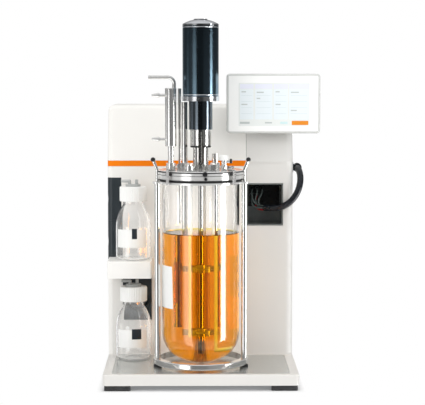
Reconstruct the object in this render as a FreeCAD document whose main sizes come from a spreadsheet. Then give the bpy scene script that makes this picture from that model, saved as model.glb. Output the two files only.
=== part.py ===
import FreeCAD, Part
import math
import os
import re
import Sketcher

# Bench bioreactor: a stirred glass vessel in its stand on a tray, with the control housing behind it.
# Places are measured from the vessel's axis (x), from the base's front edge (y, backwards) and from the
# top of the tray (z). The part's own origin is under the middle of the whole instrument, on the bench.

SIZES = {
    # gaps between pieces
    "fit_gap": 0.3,
    "running_gap": 0.05,
    "seam_gap": 0.6,
    # base and tray
    "foot_height": 10.5,
    "foot_length": 50,
    "foot_width": 16,
    "foot_inset": 3,
    "base_width": 374,
    "base_depth": 420,
    "base_height": 21,
    "base_corner": 9,
    "base_round": 2.5,
    "base_wall": 3.5,
    "base_plate_thick": 1.5,
    "inlay_border": 17,
    "inlay_front": 11,
    "inlay_thick": 1.2,
    "inlay_corner": 6,
    "inlay_lip": 0.3,
    # housing
    "tray_depth": 215,
    "housing_height": 505,
    "head_lean": 40,
    "shell_wall": 3,
    "main_round": 10,
    "column_round": 15,
    "lean_round": 12,
    "stripe_level": 389,
    "stripe_height": 11,
    "stripe_thick": 1.2,
    "stripe_return": 34,
    "column_width": 94,
    "column_line_length": 68,
    "column_line_height": 2.4,
    "panel_thick": 1.5,
    "chassis_thick": 2,
    "chassis_setback": 118,
    "chassis_margin": 12,
    "chassis_drop": 35,
    # cable bay
    "bay_width": 74,
    "bay_height": 86,
    "bay_level": 263,
    "bay_depth": 70,
    "bay_wall": 2.5,
    "bay_corner": 4,
    "socket_radius": 4,
    "socket_length": 11,
    "socket_pitch": 11,
    "socket_margin": 10,
    "socket_drop": 12,
    # pump heads
    "pump_thick": 27.5,
    "pump_width": 58,
    "pump_height": 86,
    "pump_level": 188,
    "front_pump_level": 72,
    "front_pump_inset": 59,
    "front_pump_proud": 2,
    "race_radius": 23,
    "race_depth": 17,
    "rotor_disc": 18,
    "rotor_disc_thick": 2.5,
    "rotor_inset": 1.5,
    "rotor_back_gap": 1,
    "roller_radius": 4.5,
    "roller_circle": 14,
    "rotor_hub": 6,
    "pump_shaft": 3,
    "pump_motor_radius": 17,
    "pump_motor_length": 48,
    "pump_shaft_reach": 6,
    # shelf and bottles
    "shelf_inset": 2.5,
    "shelf_width": 87.5,
    "shelf_depth": 80,
    "shelf_height": 34,
    "shelf_level": 200,
    "shelf_corner": 4,
    "shelf_wall": 3,
    "bottle_inset": 53,
    "bottle_clear": 3,
    "bottle_radius": 35,
    "bottle_height": 138,
    "bottle_wall": 2.5,
    "bottle_heel": 7,
    "bottle_shoulder_level": 64,
    "bottle_shoulder_round": 78,
    "bottle_neck_radius": 20,
    "bottle_neck_length": 28,
    "cap_radius": 27,
    "cap_skirt": 22,
    "cap_top": 4,
    "cap_hole": 16,
    "cap_thread_gap": 1.2,
    "insert_flange": 3.5,
    "insert_boss": 15,
    "insert_rise": 4,
    "barb_radius": 3,
    "barb_bore": 1.6,
    "barb_length": 17,
    "barb_rise": 6,
    "barb_spread": 7,
    "cap_round": 2,
    # touch screen
    "screen_offset": 5.5,
    "screen_width": 187,
    "screen_height": 119,
    "screen_drop": 55,
    "screen_thick": 22,
    "screen_proud": 25,
    "screen_corner": 7,
    "screen_round": 3,
    "screen_border": 4,
    "screen_glass_thick": 1.5,
    "hinge_level": 42,
    "hinge_reach": 12,
    "hinge_radius": 7,
    "hinge_pin": 3,
    "hinge_width": 50,
    "lug_width": 10,
    # vessel stand
    "stand_clear": 9,
    "pad_height": 4,
    "pad_radius": 8,
    "stand_ring_outer": 93,
    "stand_ring_inner": 80,
    "stand_ring_height": 12,
    "stand_ring_round": 2.5,
    "rod_circle": 87,
    "rod_radius": 5.5,
    "rod_lead": 15,
    "top_ring_thick": 3.5,
    "lug_radius": 9,
    "handle_radius": 3,
    "handle_rise": 26,
    "handle_out": 8,
    "handle_tip": 20,
    "knob_radius": 4.6,
    # vessel
    "vessel_clear": 5,
    "glass_radius": 75.5,
    "glass_wall": 4.5,
    "glass_height": 369,
    "knuckle_radius": 48,
    "crown_radius": 95,
    "rim_radius": 78.5,
    "rim_thick": 6,
    "ring_lip": 3.5,
    "ring_foot": 3.5,
    "ring_groove": 5.5,
    "ring_foot_radius": 79.5,
    "flange_radius": 83,
    "seal_thick": 1,
    "plate_thick": 8,
    "liquid_level": 260,
    "clamp_width": 8,
    "clamp_wrap": 3.5,
    "clamp_wall": 7,
    "clamp_lip": 6.5,
    # agitator drive
    "plate_bore": 9,
    "column_flange": 21,
    "column_flange_thick": 6,
    "neck_radius": 15,
    "neck_height": 43,
    "groove_radius": 16.5,
    "groove_height": 4,
    "cage_radius": 20.5,
    "cage_height": 31,
    "cage_bore": 10,
    "window_width": 9,
    "bearing_thick": 5,
    "adapter_radius": 23,
    "adapter_height": 55,
    "motor_flange_radius": 35.8,
    "motor_flange_thick": 9,
    "motor_radius": 35,
    "motor_height": 136,
    "motor_cap_height": 13,
    "motor_cap_flat": 13,
    "motor_cap_step": 1.5,
    "shaft_radius": 5,
    "shaft_bottom": 36,
    "shaft_top_gap": 3,
    "coupling_radius": 8,
    "coupling_length": 40,
    "impeller_low": 67,
    "impeller_pitch": 124,
    "impeller_hub": 9,
    "impeller_hub_height": 16,
    "impeller_disc": 20,
    "impeller_disc_thick": 2,
    "blade_inner": 13,
    "blade_outer": 27,
    "blade_height": 11,
    "blade_thick": 2,
    "blade_count": 6,
    # head plate ports
    "cooler_x": -58,
    "cooler_y": 4,
    "cooler_radius": 11.2,
    "cooler_foot": 45,
    "cooler_length": 113,
    "cooler_stem": 6,
    "cooler_round": 1.5,
    "cooler_barb_inset": 14,
    "cooler_barb_length": 26,
    "cooler_barb_swell": 1.6,
    "cooler_barb_taper": 0.6,
    "outlet_offset": 6.5,
    "outlet_radius": 3.6,
    "outlet_rise": 21,
    "outlet_bend": 13,
    "outlet_length": 50,
    "probe_radius": 6,
    "probe_tip": 75,
    "ph_probe_x": -31,
    "ph_probe_y": 14,
    "ph_probe_rise": 131,
    "oxygen_probe_x": 28,
    "oxygen_probe_y": 20,
    "oxygen_probe_rise": 30,
    "level_probe_x": -41,
    "level_probe_y": 27,
    "level_probe_radius": 3.6,
    "level_probe_stem": 2.5,
    "level_probe_rise": 78,
    "level_probe_length": 79,
    "level_probe_tip": 275,
    "nut_radius": 9.5,
    "nut_height": 12,
    "small_nut_radius": 6.5,
    "small_nut_height": 9,
    "sparger_x": 24,
    "sparger_y": -22,
    "sparger_radius": 3,
    "sparger_level": 40,
    "sparger_reach": 32,
    "sample_x": -18,
    "sample_y": -26,
    "sample_radius": 2.5,
    "sample_tip": 60,
    "pocket_x": 7,
    "pocket_y": 36,
    "pocket_radius": 4,
    "pocket_tip": 58,
    "tube_rise": 14,
    "addition_x": 45,
    "addition_y": -14,
    "addition_radius": 5,
    "addition_rise": 17,
    "addition_length": 16,
    "plug_x": -22,
    "plug_y": -48,
    "spare_x": 24,
    "spare_y": -50,
    "spare_bore": 6,
    # inside and back of the housing
    "supply_width": 120,
    "supply_height": 100,
    "supply_depth": 40,
    "supply_x": -150,
    "supply_corner": 1.5,
    "board_width": 150,
    "board_height": 170,
    "board_thick": 1.6,
    "board_x": -30,
    "board_level": 260,
    "standoff_length": 6,
    "standoff_radius": 3,
    "chip_width": 28,
    "chip_thick": 4,
    "valve_block_width": 120,
    "valve_block_height": 30,
    "valve_block_depth": 26,
    "valve_block_x": -150,
    "valve_block_level": 170,
    "valve_radius": 9,
    "valve_length": 36,
    "valve_count": 4,
    "fan_size": 60,
    "fan_thick": 18,
    "fan_inset": 77,
    "fan_drop": 105,
    "fan_bore": 27,
    "fan_hub": 12,
    "fan_blade_gap": 1.5,
    "fan_blade_thick": 2,
    "fan_blades": 7,
    "fan_pin": 2,
    "fan_spider": 3,
    "guard_bar": 4,
    "inlet_inset": 107,
    "inlet_level": 46,
    "inlet_width": 62,
    "inlet_height": 32,
    "inlet_flange": 2,
    "inlet_body": 24,
    "inlet_socket_width": 26,
    "inlet_socket_height": 19,
    "inlet_socket_depth": 16,
    "inlet_blade": 2,
    "inlet_blade_height": 4,
    "inlet_blade_stagger": 2,
    "inlet_blade_sunk": 3,
    "inlet_margin": 6,
    "rocker_width": 13,
    "rocker_height": 21,
    "rocker_thick": 8,
    "rocker_gap": 1,
    "rocker_pin": 1,
    "port_reach": 14,
    "port_level": 185,
    "port_pitch": 26,
    "port_radius": 3,
    "port_bore": 1.7,
    "port_nut": 7,
    "port_nut_thick": 4,
    "port_count": 6,
    "port_x": -145,
    "port_stub": 10,
    "port_swell": 0.6,
    "port_tip": 4,
    # cords
    "bundle_radius": 6.5,
    "cable_radius": 1.8,
    "gland_radius": 8.5,
    "gland_neck_radius": 7,
    "gland_foot_radius": 11,
    "gland_foot_thick": 3,
    "gland_length": 16,
    "gland_depth": 5,
}

PLACES = {
    # the part's origin: the middle of the instrument's plan, on the bench
    "centre_x": "(base_width/2 - screen_x - screen_width/2)/2",
    "front_y": "-(base_depth + port_reach)/2",
    "tray_z": "foot_height + base_height",
    # housing
    "left_x": "-base_width/2",
    "right_x": "base_width/2",
    "column_x": "right_x - column_width",
    "lean_z": "stripe_level + stripe_height/2",
    "panel_y": "base_depth - panel_thick",
    "chassis_y": "tray_depth + chassis_setback",
    "chassis_height": "housing_height - chassis_drop",
    "bay_right": "column_x + bay_width",
    "socket_y": "tray_depth + bay_depth - bay_wall - socket_length",
    "socket_x": "column_x + bay_wall + socket_margin",
    "socket_z": "bay_level + bay_height - bay_wall - socket_drop",
    "front_pump_x": "left_x + front_pump_inset",
    "fan_x": "right_x - fan_inset",
    "fan_level": "housing_height - fan_drop",
    "inlet_x": "right_x - inlet_inset",
    # bottles
    "shelf_left": "left_x + shelf_inset",
    "bottle_x": "left_x + bottle_inset",
    "bottle_y": "tray_depth - bottle_clear - bottle_radius",
    # screen
    "screen_x": "column_x + column_width/2 + screen_offset",
    "screen_y": "tray_depth - screen_proud",
    "screen_level": "housing_height - screen_drop",
    "screen_back": "screen_y + screen_thick",
    "hinge_y": "screen_back + hinge_reach",
    "hinge_z": "screen_level + hinge_level",
    # vessel
    "axis_y": "tray_depth - stand_clear - rod_circle - lug_radius",
    "ring_top": "pad_height + stand_ring_height",
    "rim_top": "vessel_clear + glass_height",
    "ring_bottom": "rim_top - rim_thick - ring_lip - ring_foot",
    "stand_top": "ring_bottom - top_ring_thick",
    "plate_bottom": "rim_top + seal_thick",
    "plate_top": "plate_bottom + plate_thick",
    "neck_top": "plate_top + neck_height",
    "cage_bottom": "neck_top + groove_height",
    "cage_top": "cage_bottom + cage_height",
    "adapter_top": "cage_top + adapter_height",
    "motor_bottom": "adapter_top + motor_flange_thick",
    "motor_top": "motor_bottom + motor_height",
    "shaft_top": "adapter_top - shaft_top_gap",
    "bore_radius": "glass_radius - glass_wall",
}

doc = FreeCAD.newDocument("bench_bioreactor")
dims = doc.addObject("Spreadsheet::Sheet", "dims")
for row, (size_name, size) in enumerate(SIZES.items(), 1):
    dims.set(f"A{row}", size_name)
    dims.set(f"B{row}", str(size))
    dims.setAlias(f"B{row}", size_name)
doc.recompute()

V = FreeCAD.Vector
ALONG = {
    "Z": FreeCAD.Rotation(),
    "-Z": FreeCAD.Rotation(V(1, 0, 0), 180),
    "X": FreeCAD.Rotation(V(0, 1, 0), 90),
    "-X": FreeCAD.Rotation(V(0, 1, 0), -90),
    "Y": FreeCAD.Rotation(V(1, 0, 0), -90),
    "-Y": FreeCAD.Rotation(V(1, 0, 0), 90),
}
# which way an outline's own x, y and thickness run, for each side that it can face
FACING = {
    "Z": FreeCAD.Rotation(),
    "-Y": FreeCAD.Rotation(V(1, 0, 0), 90),
    "X": FreeCAD.Rotation(V(0, 1, 0), V(0, 0, 1), V(1, 0, 0), "ZXY"),
    "-X": FreeCAD.Rotation(V(0, -1, 0), V(0, 0, 1), V(-1, 0, 0), "ZXY"),
}
NEAR = 1e-4
OVER = 5  # how far a cutting tool runs past the face that it opens
nodes = {}


# formulas and placements


def formula(text):
    """The text with each size as its cell and each place written out."""

    def swap(found):
        word = found.group()
        if word in PLACES:
            return "(" + formula(PLACES[word]) + ")"
        return "dims." + word if word in SIZES else word

    return re.sub(r"[a-z][a-z0-9_]*", swap, str(text))


def value(text):
    return float(dims.evalExpression(formula(text)))


def place(thing, x=0, y=0, z=0, turn=None):
    """Put a thing's own origin at a place given by formulas."""
    if turn is not None:
        thing.Placement = FreeCAD.Placement(V(), turn)
    for axis, datum, text in zip("xyz", ("centre_x", "front_y", "tray_z"), (x, y, z)):
        thing.setExpression("Placement.Base." + axis, formula(f"{datum} + ({text})"))
    return thing


def point(x, y, z):
    return V(value(f"centre_x + ({x})"), value(f"front_y + ({y})"), value(f"tray_z + ({z})"))


# plain solids


def block(xs, ys, zs):
    """A box between two x, two y and two z."""
    box = doc.addObject("Part::Box", "Block")
    for name, (low, high) in zip(("Length", "Width", "Height"), (xs, ys, zs)):
        box.setExpression(name, formula(f"({high}) - ({low})"))
    return place(box, xs[0], ys[0], zs[0])


def rod(radius, length, x, y, z, along="Z"):
    """A cylinder that starts at a place and runs along an axis."""
    cylinder = doc.addObject("Part::Cylinder", "Rod")
    cylinder.setExpression("Radius", formula(radius))
    cylinder.setExpression("Height", formula(length))
    return place(cylinder, x, y, z, ALONG[along])


def ball(radius, x, y, z):
    sphere = doc.addObject("Part::Sphere", "Ball")
    sphere.setExpression("Radius", formula(radius))
    return place(sphere, x, y, z)


def spoke(inner, outer, width, height, x, y, z, angle):
    """A box that runs out from an upright axis at an angle in degrees, with its middle on that line."""
    box = doc.addObject("Part::Box", "Spoke")
    box.setExpression("Length", formula(f"({outer}) - ({inner})"))
    box.setExpression("Width", formula(width))
    box.setExpression("Height", formula(height))
    turn = FreeCAD.Rotation(V(0, 0, 1), angle)
    side = f"({width})/2"
    along_x, along_y = f"cos({angle})", f"sin({angle})"
    return place(
        box,
        f"({x}) + ({inner})*{along_x} + {side}*{along_y}",
        f"({y}) + ({inner})*{along_y} - {side}*{along_x}",
        z,
        turn,
    )


def strut(radius, start, end):
    """A cylinder between two places."""
    cylinder = doc.addObject("Part::Cylinder", "Strut")
    cylinder.setExpression("Radius", formula(radius))
    spans = "; ".join(f"(({b}) - ({a}))^2" for a, b in zip(start, end)).split("; ")
    cylinder.setExpression("Height", formula("sqrt(" + " + ".join(spans) + ")"))
    turn = FreeCAD.Rotation(V(0, 0, 1), point(*end) - point(*start))
    return place(cylinder, *start, turn)


# booleans and groups


def minus(base, *tools):
    cut = doc.addObject("Part::Cut", "Cut")
    cut.Base = base
    cut.Tool = tools[0] if len(tools) == 1 else plus(*tools)
    return cut


def plus(*pieces):
    fuse = doc.addObject("Part::MultiFuse", "Fuse")
    fuse.Shapes = list(pieces)
    return fuse


def both(first, second):
    common = doc.addObject("Part::Common", "Common")
    common.Base = first
    common.Tool = second
    return common


def group(*pieces):
    compound = doc.addObject("Part::Compound", "Group")
    compound.Links = list(pieces)
    return compound


def node(name, thing):
    """Name a finished piece of the instrument."""
    thing.Label = name
    nodes[name] = thing
    return thing


# sketched solids


def arc_between(start, end, radius):
    """The arc from start to end, counter-clockwise for a positive radius, and its first and last vertex."""
    half = (end - start) / 2
    rise = math.sqrt(max(radius**2 - half.Length**2, 0))
    left = V(-half.y, half.x, 0).normalize()
    centre = start + half + left * math.copysign(rise, radius)
    circle = Part.Circle(centre, V(0, 0, 1), abs(radius))
    first, last = (math.atan2(p.y - centre.y, p.x - centre.x) for p in (start, end))
    if radius > 0:
        return Part.ArcOfCircle(circle, first, last), 1, 2
    return Part.ArcOfCircle(circle, last, first), 2, 1


def sketch_on(body, role, outline):
    """A closed outline pinned to formulas. A corner's third entry is the radius of the arc up to it."""
    sketch = body.newObject("Sketcher::SketchObject", "Outline")
    plane = next(feature for feature in body.Origin.OriginFeatures if feature.Role == role)
    sketch.AttachmentSupport = (plane, [""])
    sketch.MapMode = "FlatFace"
    corners = [V(value(corner[0]), value(corner[1]), 0) for corner in outline]
    count = len(corners)
    ends = []
    for i in range(count):
        after = (i + 1) % count
        if len(outline[after]) == 3:
            edge, first, last = arc_between(corners[i], corners[after], value(outline[after][2]))
        else:
            edge, first, last = Part.LineSegment(corners[i], corners[after]), 1, 2
        sketch.addGeometry(edge, False)
        ends.append((first, last))
    for i, (first, last) in enumerate(ends):
        after = (i + 1) % count
        sketch.addConstraint(Sketcher.Constraint("Coincident", i, last, after, ends[after][0]))
        for kind, text, now in (
            ("DistanceX", outline[i][0], corners[i].x),
            ("DistanceY", outline[i][1], corners[i].y),
        ):
            pin = sketch.addConstraint(Sketcher.Constraint(kind, -1, 1, i, first, now))
            sketch.setExpression(f"Constraints[{pin}]", formula(text))
        if len(outline[after]) == 3:
            radius = abs(value(outline[after][2]))
            pin = sketch.addConstraint(Sketcher.Constraint("Radius", i, radius))
            sketch.setExpression(f"Constraints[{pin}]", formula(f"abs({outline[after][2]})"))
    return sketch


def turned(outline, x=0, y=0, z=0, along="Z"):
    """A solid turned about an axis: the outline's points are radius and height."""
    body = doc.addObject("PartDesign::Body", "Turned")
    sketch = sketch_on(body, "XZ_Plane", outline)
    turn = body.newObject("PartDesign::Revolution", "Turn")
    turn.Profile = sketch
    turn.ReferenceAxis = (sketch, ["V_Axis"])
    turn.Angle = 360
    return place(body, x, y, z, ALONG[along])


def extruded(outline, thick, x, y, z, facing="Z", rounds=()):
    """A padded outline. Each round is a radius and a test that picks the edges that it rounds."""
    body = doc.addObject("PartDesign::Body", "Extruded")
    pad = body.newObject("PartDesign::Pad", "Pad")
    pad.Profile = sketch_on(body, "XY_Plane", outline)
    pad.setExpression("Length", formula(thick))
    body.Tip = pad
    doc.recompute()
    last = pad
    for radius, picks in rounds:
        edges = [f"Edge{i}" for i, edge in enumerate(last.Shape.Edges, 1) if picks(edge, last.Shape)]
        fillet = body.newObject("PartDesign::Fillet", "Round")
        fillet.Base = (last, edges)
        fillet.setExpression("Radius", formula(radius))
        body.Tip = fillet
        doc.recompute()
        last = fillet
    return place(body, x, y, z, FACING[facing])


def runs_through(edge, shape):
    """True for an edge that runs through the whole thickness."""
    box = edge.BoundBox
    return box.XLength < NEAR and box.YLength < NEAR and box.ZLength > NEAR


def on_face(edge, shape):
    """True for an edge in the face that the pad ends at."""
    return edge.BoundBox.ZMin > shape.BoundBox.ZMax - NEAR


def slab(xs, ys, zs, corner, edge=None, facing="Z"):
    """A block with rounded corners, seen from the side that it faces, and perhaps a rounded rim there."""
    spans = {"Z": (xs, ys, zs), "-Y": (xs, zs, ys), "X": (ys, zs, xs), "-X": (ys, zs, xs)}[facing]
    wide, high, thick = (f"({b}) - ({a})" for a, b in spans)
    start = {
        "Z": (xs[0], ys[0], zs[0]),
        "-Y": (xs[0], ys[1], zs[0]),
        "X": (xs[0], ys[0], zs[0]),
        "-X": (xs[1], ys[1], zs[0]),
    }[facing]
    rounds = [(corner, runs_through)]
    if edge is not None:
        rounds.append((edge, on_face))
    return extruded(rectangle("0", wide, "0", high), thick, *start, facing, rounds)


def rectangle(left, right, low, high):
    return [(left, low), (right, low), (right, high), (left, high)]


def grown(span, by):
    """A pair of limits moved apart by a gap, or together by a negative one."""
    return (f"({span[0]}) - ({by})", f"({span[1]}) + ({by})")


def about(middle, size):
    """The two limits of a size that lies evenly about a middle."""
    return (f"({middle}) - ({size})/2", f"({middle}) + ({size})/2")


def on_circle(radius, angle, x="0", y="axis_y"):
    """The x and y of a point on a circle about an upright axis."""
    return f"({x}) + ({radius})*cos({angle})", f"({y}) + ({radius})*sin({angle})"


# base and tray

WIDTH = ("left_x", "right_x")
INLAY_X = grown(WIDTH, "-inlay_border")
INLAY_Y = ("inlay_front", "tray_depth - inlay_front/2")


def base():
    pan = slab(WIDTH, ("0", "base_depth"), ("-base_height", "0"), "base_corner", "base_round")
    inside = (grown(WIDTH, "-base_wall"), ("base_wall", "base_depth - base_wall"))
    hollow = slab(*inside, ("-base_height - 1", "-base_wall"), "base_corner - base_wall")
    recess = slab(
        grown(INLAY_X, "fit_gap"),
        grown(INLAY_Y, "fit_gap"),
        ("-inlay_thick - inlay_lip", "1"),
        "inlay_corner + fit_gap",
    )
    node("base_pan", minus(pan, hollow, recess))
    node("tray_inlay", slab(INLAY_X, INLAY_Y, ("-inlay_thick - inlay_lip", "-inlay_lip"), "inlay_corner"))
    sheet = [grown(span, "-fit_gap") for span in inside]
    bottom = ("-base_height", "-base_height + base_plate_thick")
    node("base_plate", slab(*sheet, bottom, "base_corner - base_wall - fit_gap"))
    left = ("left_x + foot_inset", "left_x + foot_inset + foot_length")
    right = ("right_x - foot_inset - foot_length", "right_x - foot_inset")
    front = ("foot_inset", "foot_inset + foot_width")
    back = ("base_depth - foot_inset - foot_width", "base_depth - foot_inset")
    under = ("-base_height - foot_height", "-base_height")
    feet = [slab(xs, ys, under, "foot_width/4") for xs in (left, right) for ys in (front, back)]
    node("base_feet", group(*feet))


# housing


def cover_outline(inset, low, back):
    """The side view of a cover: upright in front, then leaning back to the top."""
    return [
        (f"tray_depth + {inset}", low),
        (back, low),
        (back, f"housing_height - ({inset})"),
        (f"tray_depth + head_lean + {inset}", f"housing_height - ({inset})"),
        (f"tray_depth + {inset}", f"lean_z - ({inset})/3"),
    ]


def cover_solid(xs, inset, side_round, side, low="0", back="base_depth"):
    """A cover's filled shape, or its hollow, with one side's rim rounded. Side is X or -X."""

    def is_back(edge, shape):
        behind = shape.BoundBox.XMax if side == "X" else shape.BoundBox.XMin
        return max(abs(edge.BoundBox.XMin - behind), abs(edge.BoundBox.XMax - behind)) < NEAR

    def is_kink(edge, shape):
        above = edge.BoundBox.YMin > shape.BoundBox.YMin + NEAR
        return runs_through(edge, shape) and above and not is_back(edge, shape)

    def is_rim(edge, shape):
        above = edge.BoundBox.YMax > shape.BoundBox.YMin + NEAR
        return on_face(edge, shape) and above and not is_back(edge, shape)

    outline = cover_outline(inset, low, back)
    if side == "-X":
        outline = [(f"-({u})", v) for u, v in reversed(outline)]
    start = xs[0] if side == "X" else xs[1]
    thick = f"({xs[1]}) - ({xs[0]})"
    rounds = [("lean_round", is_kink), (side_round, is_rim)]
    return extruded(outline, thick, start, "0", "0", side, rounds)


MAIN_X = ("left_x", "column_x - seam_gap")
COLUMN_X = ("column_x", "right_x")
STRIPE_Z = ("stripe_level - stripe_height/2", "stripe_level + stripe_height/2")
BAY_Z = ("bay_level", "bay_level + bay_height")


def pump_places():
    """Each pump head's x, y and z limits and the side that it faces, from the top one down."""
    side_x = ("left_x", "left_x + pump_thick")
    side_y = ("tray_depth", "tray_depth + pump_width")
    places = []
    for i in (1, 0):
        low = f"pump_level + {i}*(pump_height + fit_gap)"
        places.append((side_x, side_y, (low, f"{low} + pump_height"), "-X"))
    front_x = ("front_pump_x - pump_width/2", "front_pump_x + pump_width/2")
    front_y = ("tray_depth - front_pump_proud", "tray_depth - front_pump_proud + pump_thick")
    front_z = ("front_pump_level", "front_pump_level + pump_height")
    places.append((front_x, front_y, front_z, "-Y"))
    return places


PUMPS = pump_places()


def main_cover():
    skin = cover_solid(MAIN_X, "0", "main_round", "-X")
    inside_x = ("left_x + shell_wall", f"column_x + {OVER}")
    low, back = f"-{OVER}", f"base_depth + {OVER}"
    hollow = cover_solid(inside_x, "shell_wall", "main_round - shell_wall", "-X", low, back)
    side_notch = block(
        (f"left_x - {OVER}", "left_x + pump_thick + fit_gap"),
        (f"tray_depth - {OVER}", "tray_depth + pump_width + fit_gap"),
        ("pump_level - fit_gap", "pump_level + 2*pump_height + 2*fit_gap"),
    )
    xs, ys, zs, _ = PUMPS[2]
    front_notch = block(grown(xs, "fit_gap"), (f"tray_depth - {OVER}", ys[1]), grown(zs, "fit_gap"))
    deep = "stripe_thick + fit_gap"
    groove = stripe_band(grown(STRIPE_Z, "fit_gap"), f"-{OVER}", deep, "stripe_return + fit_gap")
    node("main_cover", minus(skin, hollow, side_notch, front_notch, groove))
    node("accent_stripe", stripe_band(STRIPE_Z, "0", "stripe_thick", "stripe_return"))


def stripe_band(zs, outer, inner, back):
    """A band round the main cover's front and its left corner, between two depths below the surface."""
    band = block((f"left_x - {OVER}", MAIN_X[1]), (f"tray_depth - {OVER}", f"tray_depth + {back}"), zs)
    if outer == "0":
        band = both(band, cover_solid(MAIN_X, "0", "main_round", "-X"))
    core = cover_solid((f"left_x + {inner}", "column_x"), inner, f"main_round - ({inner})", "-X")
    return minus(band, core)


def column_cover():
    skin = cover_solid(COLUMN_X, "0", "column_round", "X")
    inside_x = (f"column_x - {OVER}", "right_x - shell_wall")
    low, back = f"-{OVER}", f"base_depth + {OVER}"
    hollow = cover_solid(inside_x, "shell_wall", "column_round - shell_wall", "X", low, back)
    bay = block(
        (f"column_x - {OVER}", "bay_right"), (f"tray_depth - {OVER}", f"tray_depth + {OVER}"), BAY_Z
    )
    line_z = ("stripe_level - column_line_height/2", "stripe_level + column_line_height/2")
    line_x = (f"column_x - {OVER}", "column_x + column_line_length")
    line = block(line_x, (f"tray_depth - {OVER}", "tray_depth + shell_wall/3"), line_z)
    node("column_cover", minus(skin, hollow, bay, line))


def cable_bay():
    """The open-fronted box in the column, with the sockets of the sensor cables on its back wall."""
    outer = ("column_x + fit_gap", "bay_right - fit_gap")
    zs = grown(BAY_Z, "-fit_gap")
    ys = ("tray_depth", "tray_depth + bay_depth")
    box = slab(outer, ys, zs, "bay_corner", facing="-Y")
    room = slab(
        grown(outer, "-bay_wall"),
        (f"tray_depth - {OVER}", "tray_depth + bay_depth - bay_wall"),
        grown(zs, "-bay_wall"),
        "bay_corner - bay_wall",
        facing="-Y",
    )
    sockets = [
        rod("socket_radius", "socket_length + bay_wall/2", x, "socket_y", z, "Y") for x, z in SOCKETS
    ]
    node("cable_bay", plus(minus(box, room), *sockets))


SOCKETS = [
    ("socket_x + 0*socket_pitch", "socket_z"),
    ("socket_x + 1*socket_pitch", "socket_z"),
    ("socket_x + 2*socket_pitch", "socket_z"),
    ("socket_x + 0*socket_pitch", "socket_z - 1.3*socket_pitch"),
    ("socket_x + 1*socket_pitch", "socket_z - 1.3*socket_pitch"),
]


def rear_panel():
    inset = "(shell_wall + fit_gap)"
    xs, zs = grown(WIDTH, f"-{inset}"), ("0", f"housing_height - {inset}")

    def is_corner(right):
        def picks(edge, shape):
            box = edge.BoundBox
            side = box.XMin > NEAR if right else box.XMax < NEAR
            return runs_through(edge, shape) and side and box.YMin > NEAR

        return picks

    wide, high = f"({xs[1]}) - ({xs[0]})", f"({zs[1]}) - ({zs[0]})"
    corners = [(f"main_round - {inset}", is_corner(False)), (f"column_round - {inset}", is_corner(True))]
    outline = rectangle("0", wide, "0", high)
    sheet = extruded(outline, "panel_thick", xs[0], "base_depth", zs[0], "-Y", corners)
    hole = rod("fan_bore", f"2*{OVER}", "fan_x", f"panel_y - {OVER}", "fan_level", "Y")
    bar_y = (f"panel_y - {OVER}", f"base_depth + {OVER}")
    half = "guard_bar/2"
    upright = block(
        (f"fan_x - {half}", f"fan_x + {half}"), bar_y, ("fan_level - fan_bore", "fan_level + fan_bore")
    )
    level = block(
        ("fan_x - fan_bore", "fan_x + fan_bore"), bar_y, (f"fan_level - {half}", f"fan_level + {half}")
    )
    inlet_x, inlet_z = (grown(span, "fit_gap") for span in inlet_body_spans())
    inlet = block(inlet_x, bar_y, inlet_z)
    holes = [
        rod("port_radius + fit_gap", f"2*{OVER}", x, f"panel_y - {OVER}", "port_level", "Y") for x in PORTS
    ]
    node("rear_panel", minus(sheet, minus(hole, upright, level), inlet, *holes))


def chassis():
    xs = grown(WIDTH, "-chassis_margin")
    upright = block(xs, ("chassis_y", "chassis_y + chassis_thick"), ("0", "chassis_height"))
    foot = block(xs, ("chassis_y - supply_depth", "chassis_y"), ("0", "chassis_thick"))
    node("chassis", plus(upright, foot))


def electronics():
    """The power supply behind the chassis, and the control board in front of it on its stand-offs."""
    behind = "chassis_y + chassis_thick"
    node(
        "power_supply",
        slab(
            ("supply_x", "supply_x + supply_width"),
            (behind, f"{behind} + supply_depth"),
            ("chassis_margin", "chassis_margin + supply_height"),
            "supply_corner",
        ),
    )
    board_y = "chassis_y - standoff_length"
    xs = ("board_x", "board_x + board_width")
    zs = ("board_level", "board_level + board_height")
    board = block(xs, (f"{board_y} - board_thick", board_y), zs)
    pegs = [
        rod("standoff_radius", "standoff_length", x, board_y, z, "Y")
        for x in ("board_x + 2*standoff_radius", "board_x + board_width - 2*standoff_radius")
        for z in ("board_level + 2*standoff_radius", "board_level + board_height - 2*standoff_radius")
    ]
    chips = []
    for i in range(3):
        x = f"board_x + chip_width/2 + {i}*chip_width*1.5"
        z = "board_level + board_height/2 - chip_width/2"
        face = f"{board_y} - board_thick"
        chip_y = (f"{face} - chip_thick", face)
        chips.append(block((x, f"{x} + chip_width"), chip_y, (z, f"{z} + chip_width")))
    node("control_board", group(board, *pegs, *chips))


def gas_valve_block():
    """The manifold that the gas inlets feed, with one solenoid valve for each gas."""
    ys = ("chassis_y + chassis_thick", "chassis_y + chassis_thick + valve_block_depth")
    zs = ("valve_block_level", "valve_block_level + valve_block_height")
    bar = block(("valve_block_x", "valve_block_x + valve_block_width"), ys, zs)
    valves = []
    for i in range(int(value("valve_count"))):
        x = f"valve_block_x + ({i} + 0.5)*valve_block_width/valve_count"
        middle = "chassis_y + chassis_thick + valve_block_depth/2"
        valves.append(rod("valve_radius", "valve_length", x, middle, zs[1]))
    node("gas_valve_block", group(bar, *valves))


PORTS = [f"port_x + {i}*port_pitch" for i in range(int(value("port_count")))]


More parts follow.
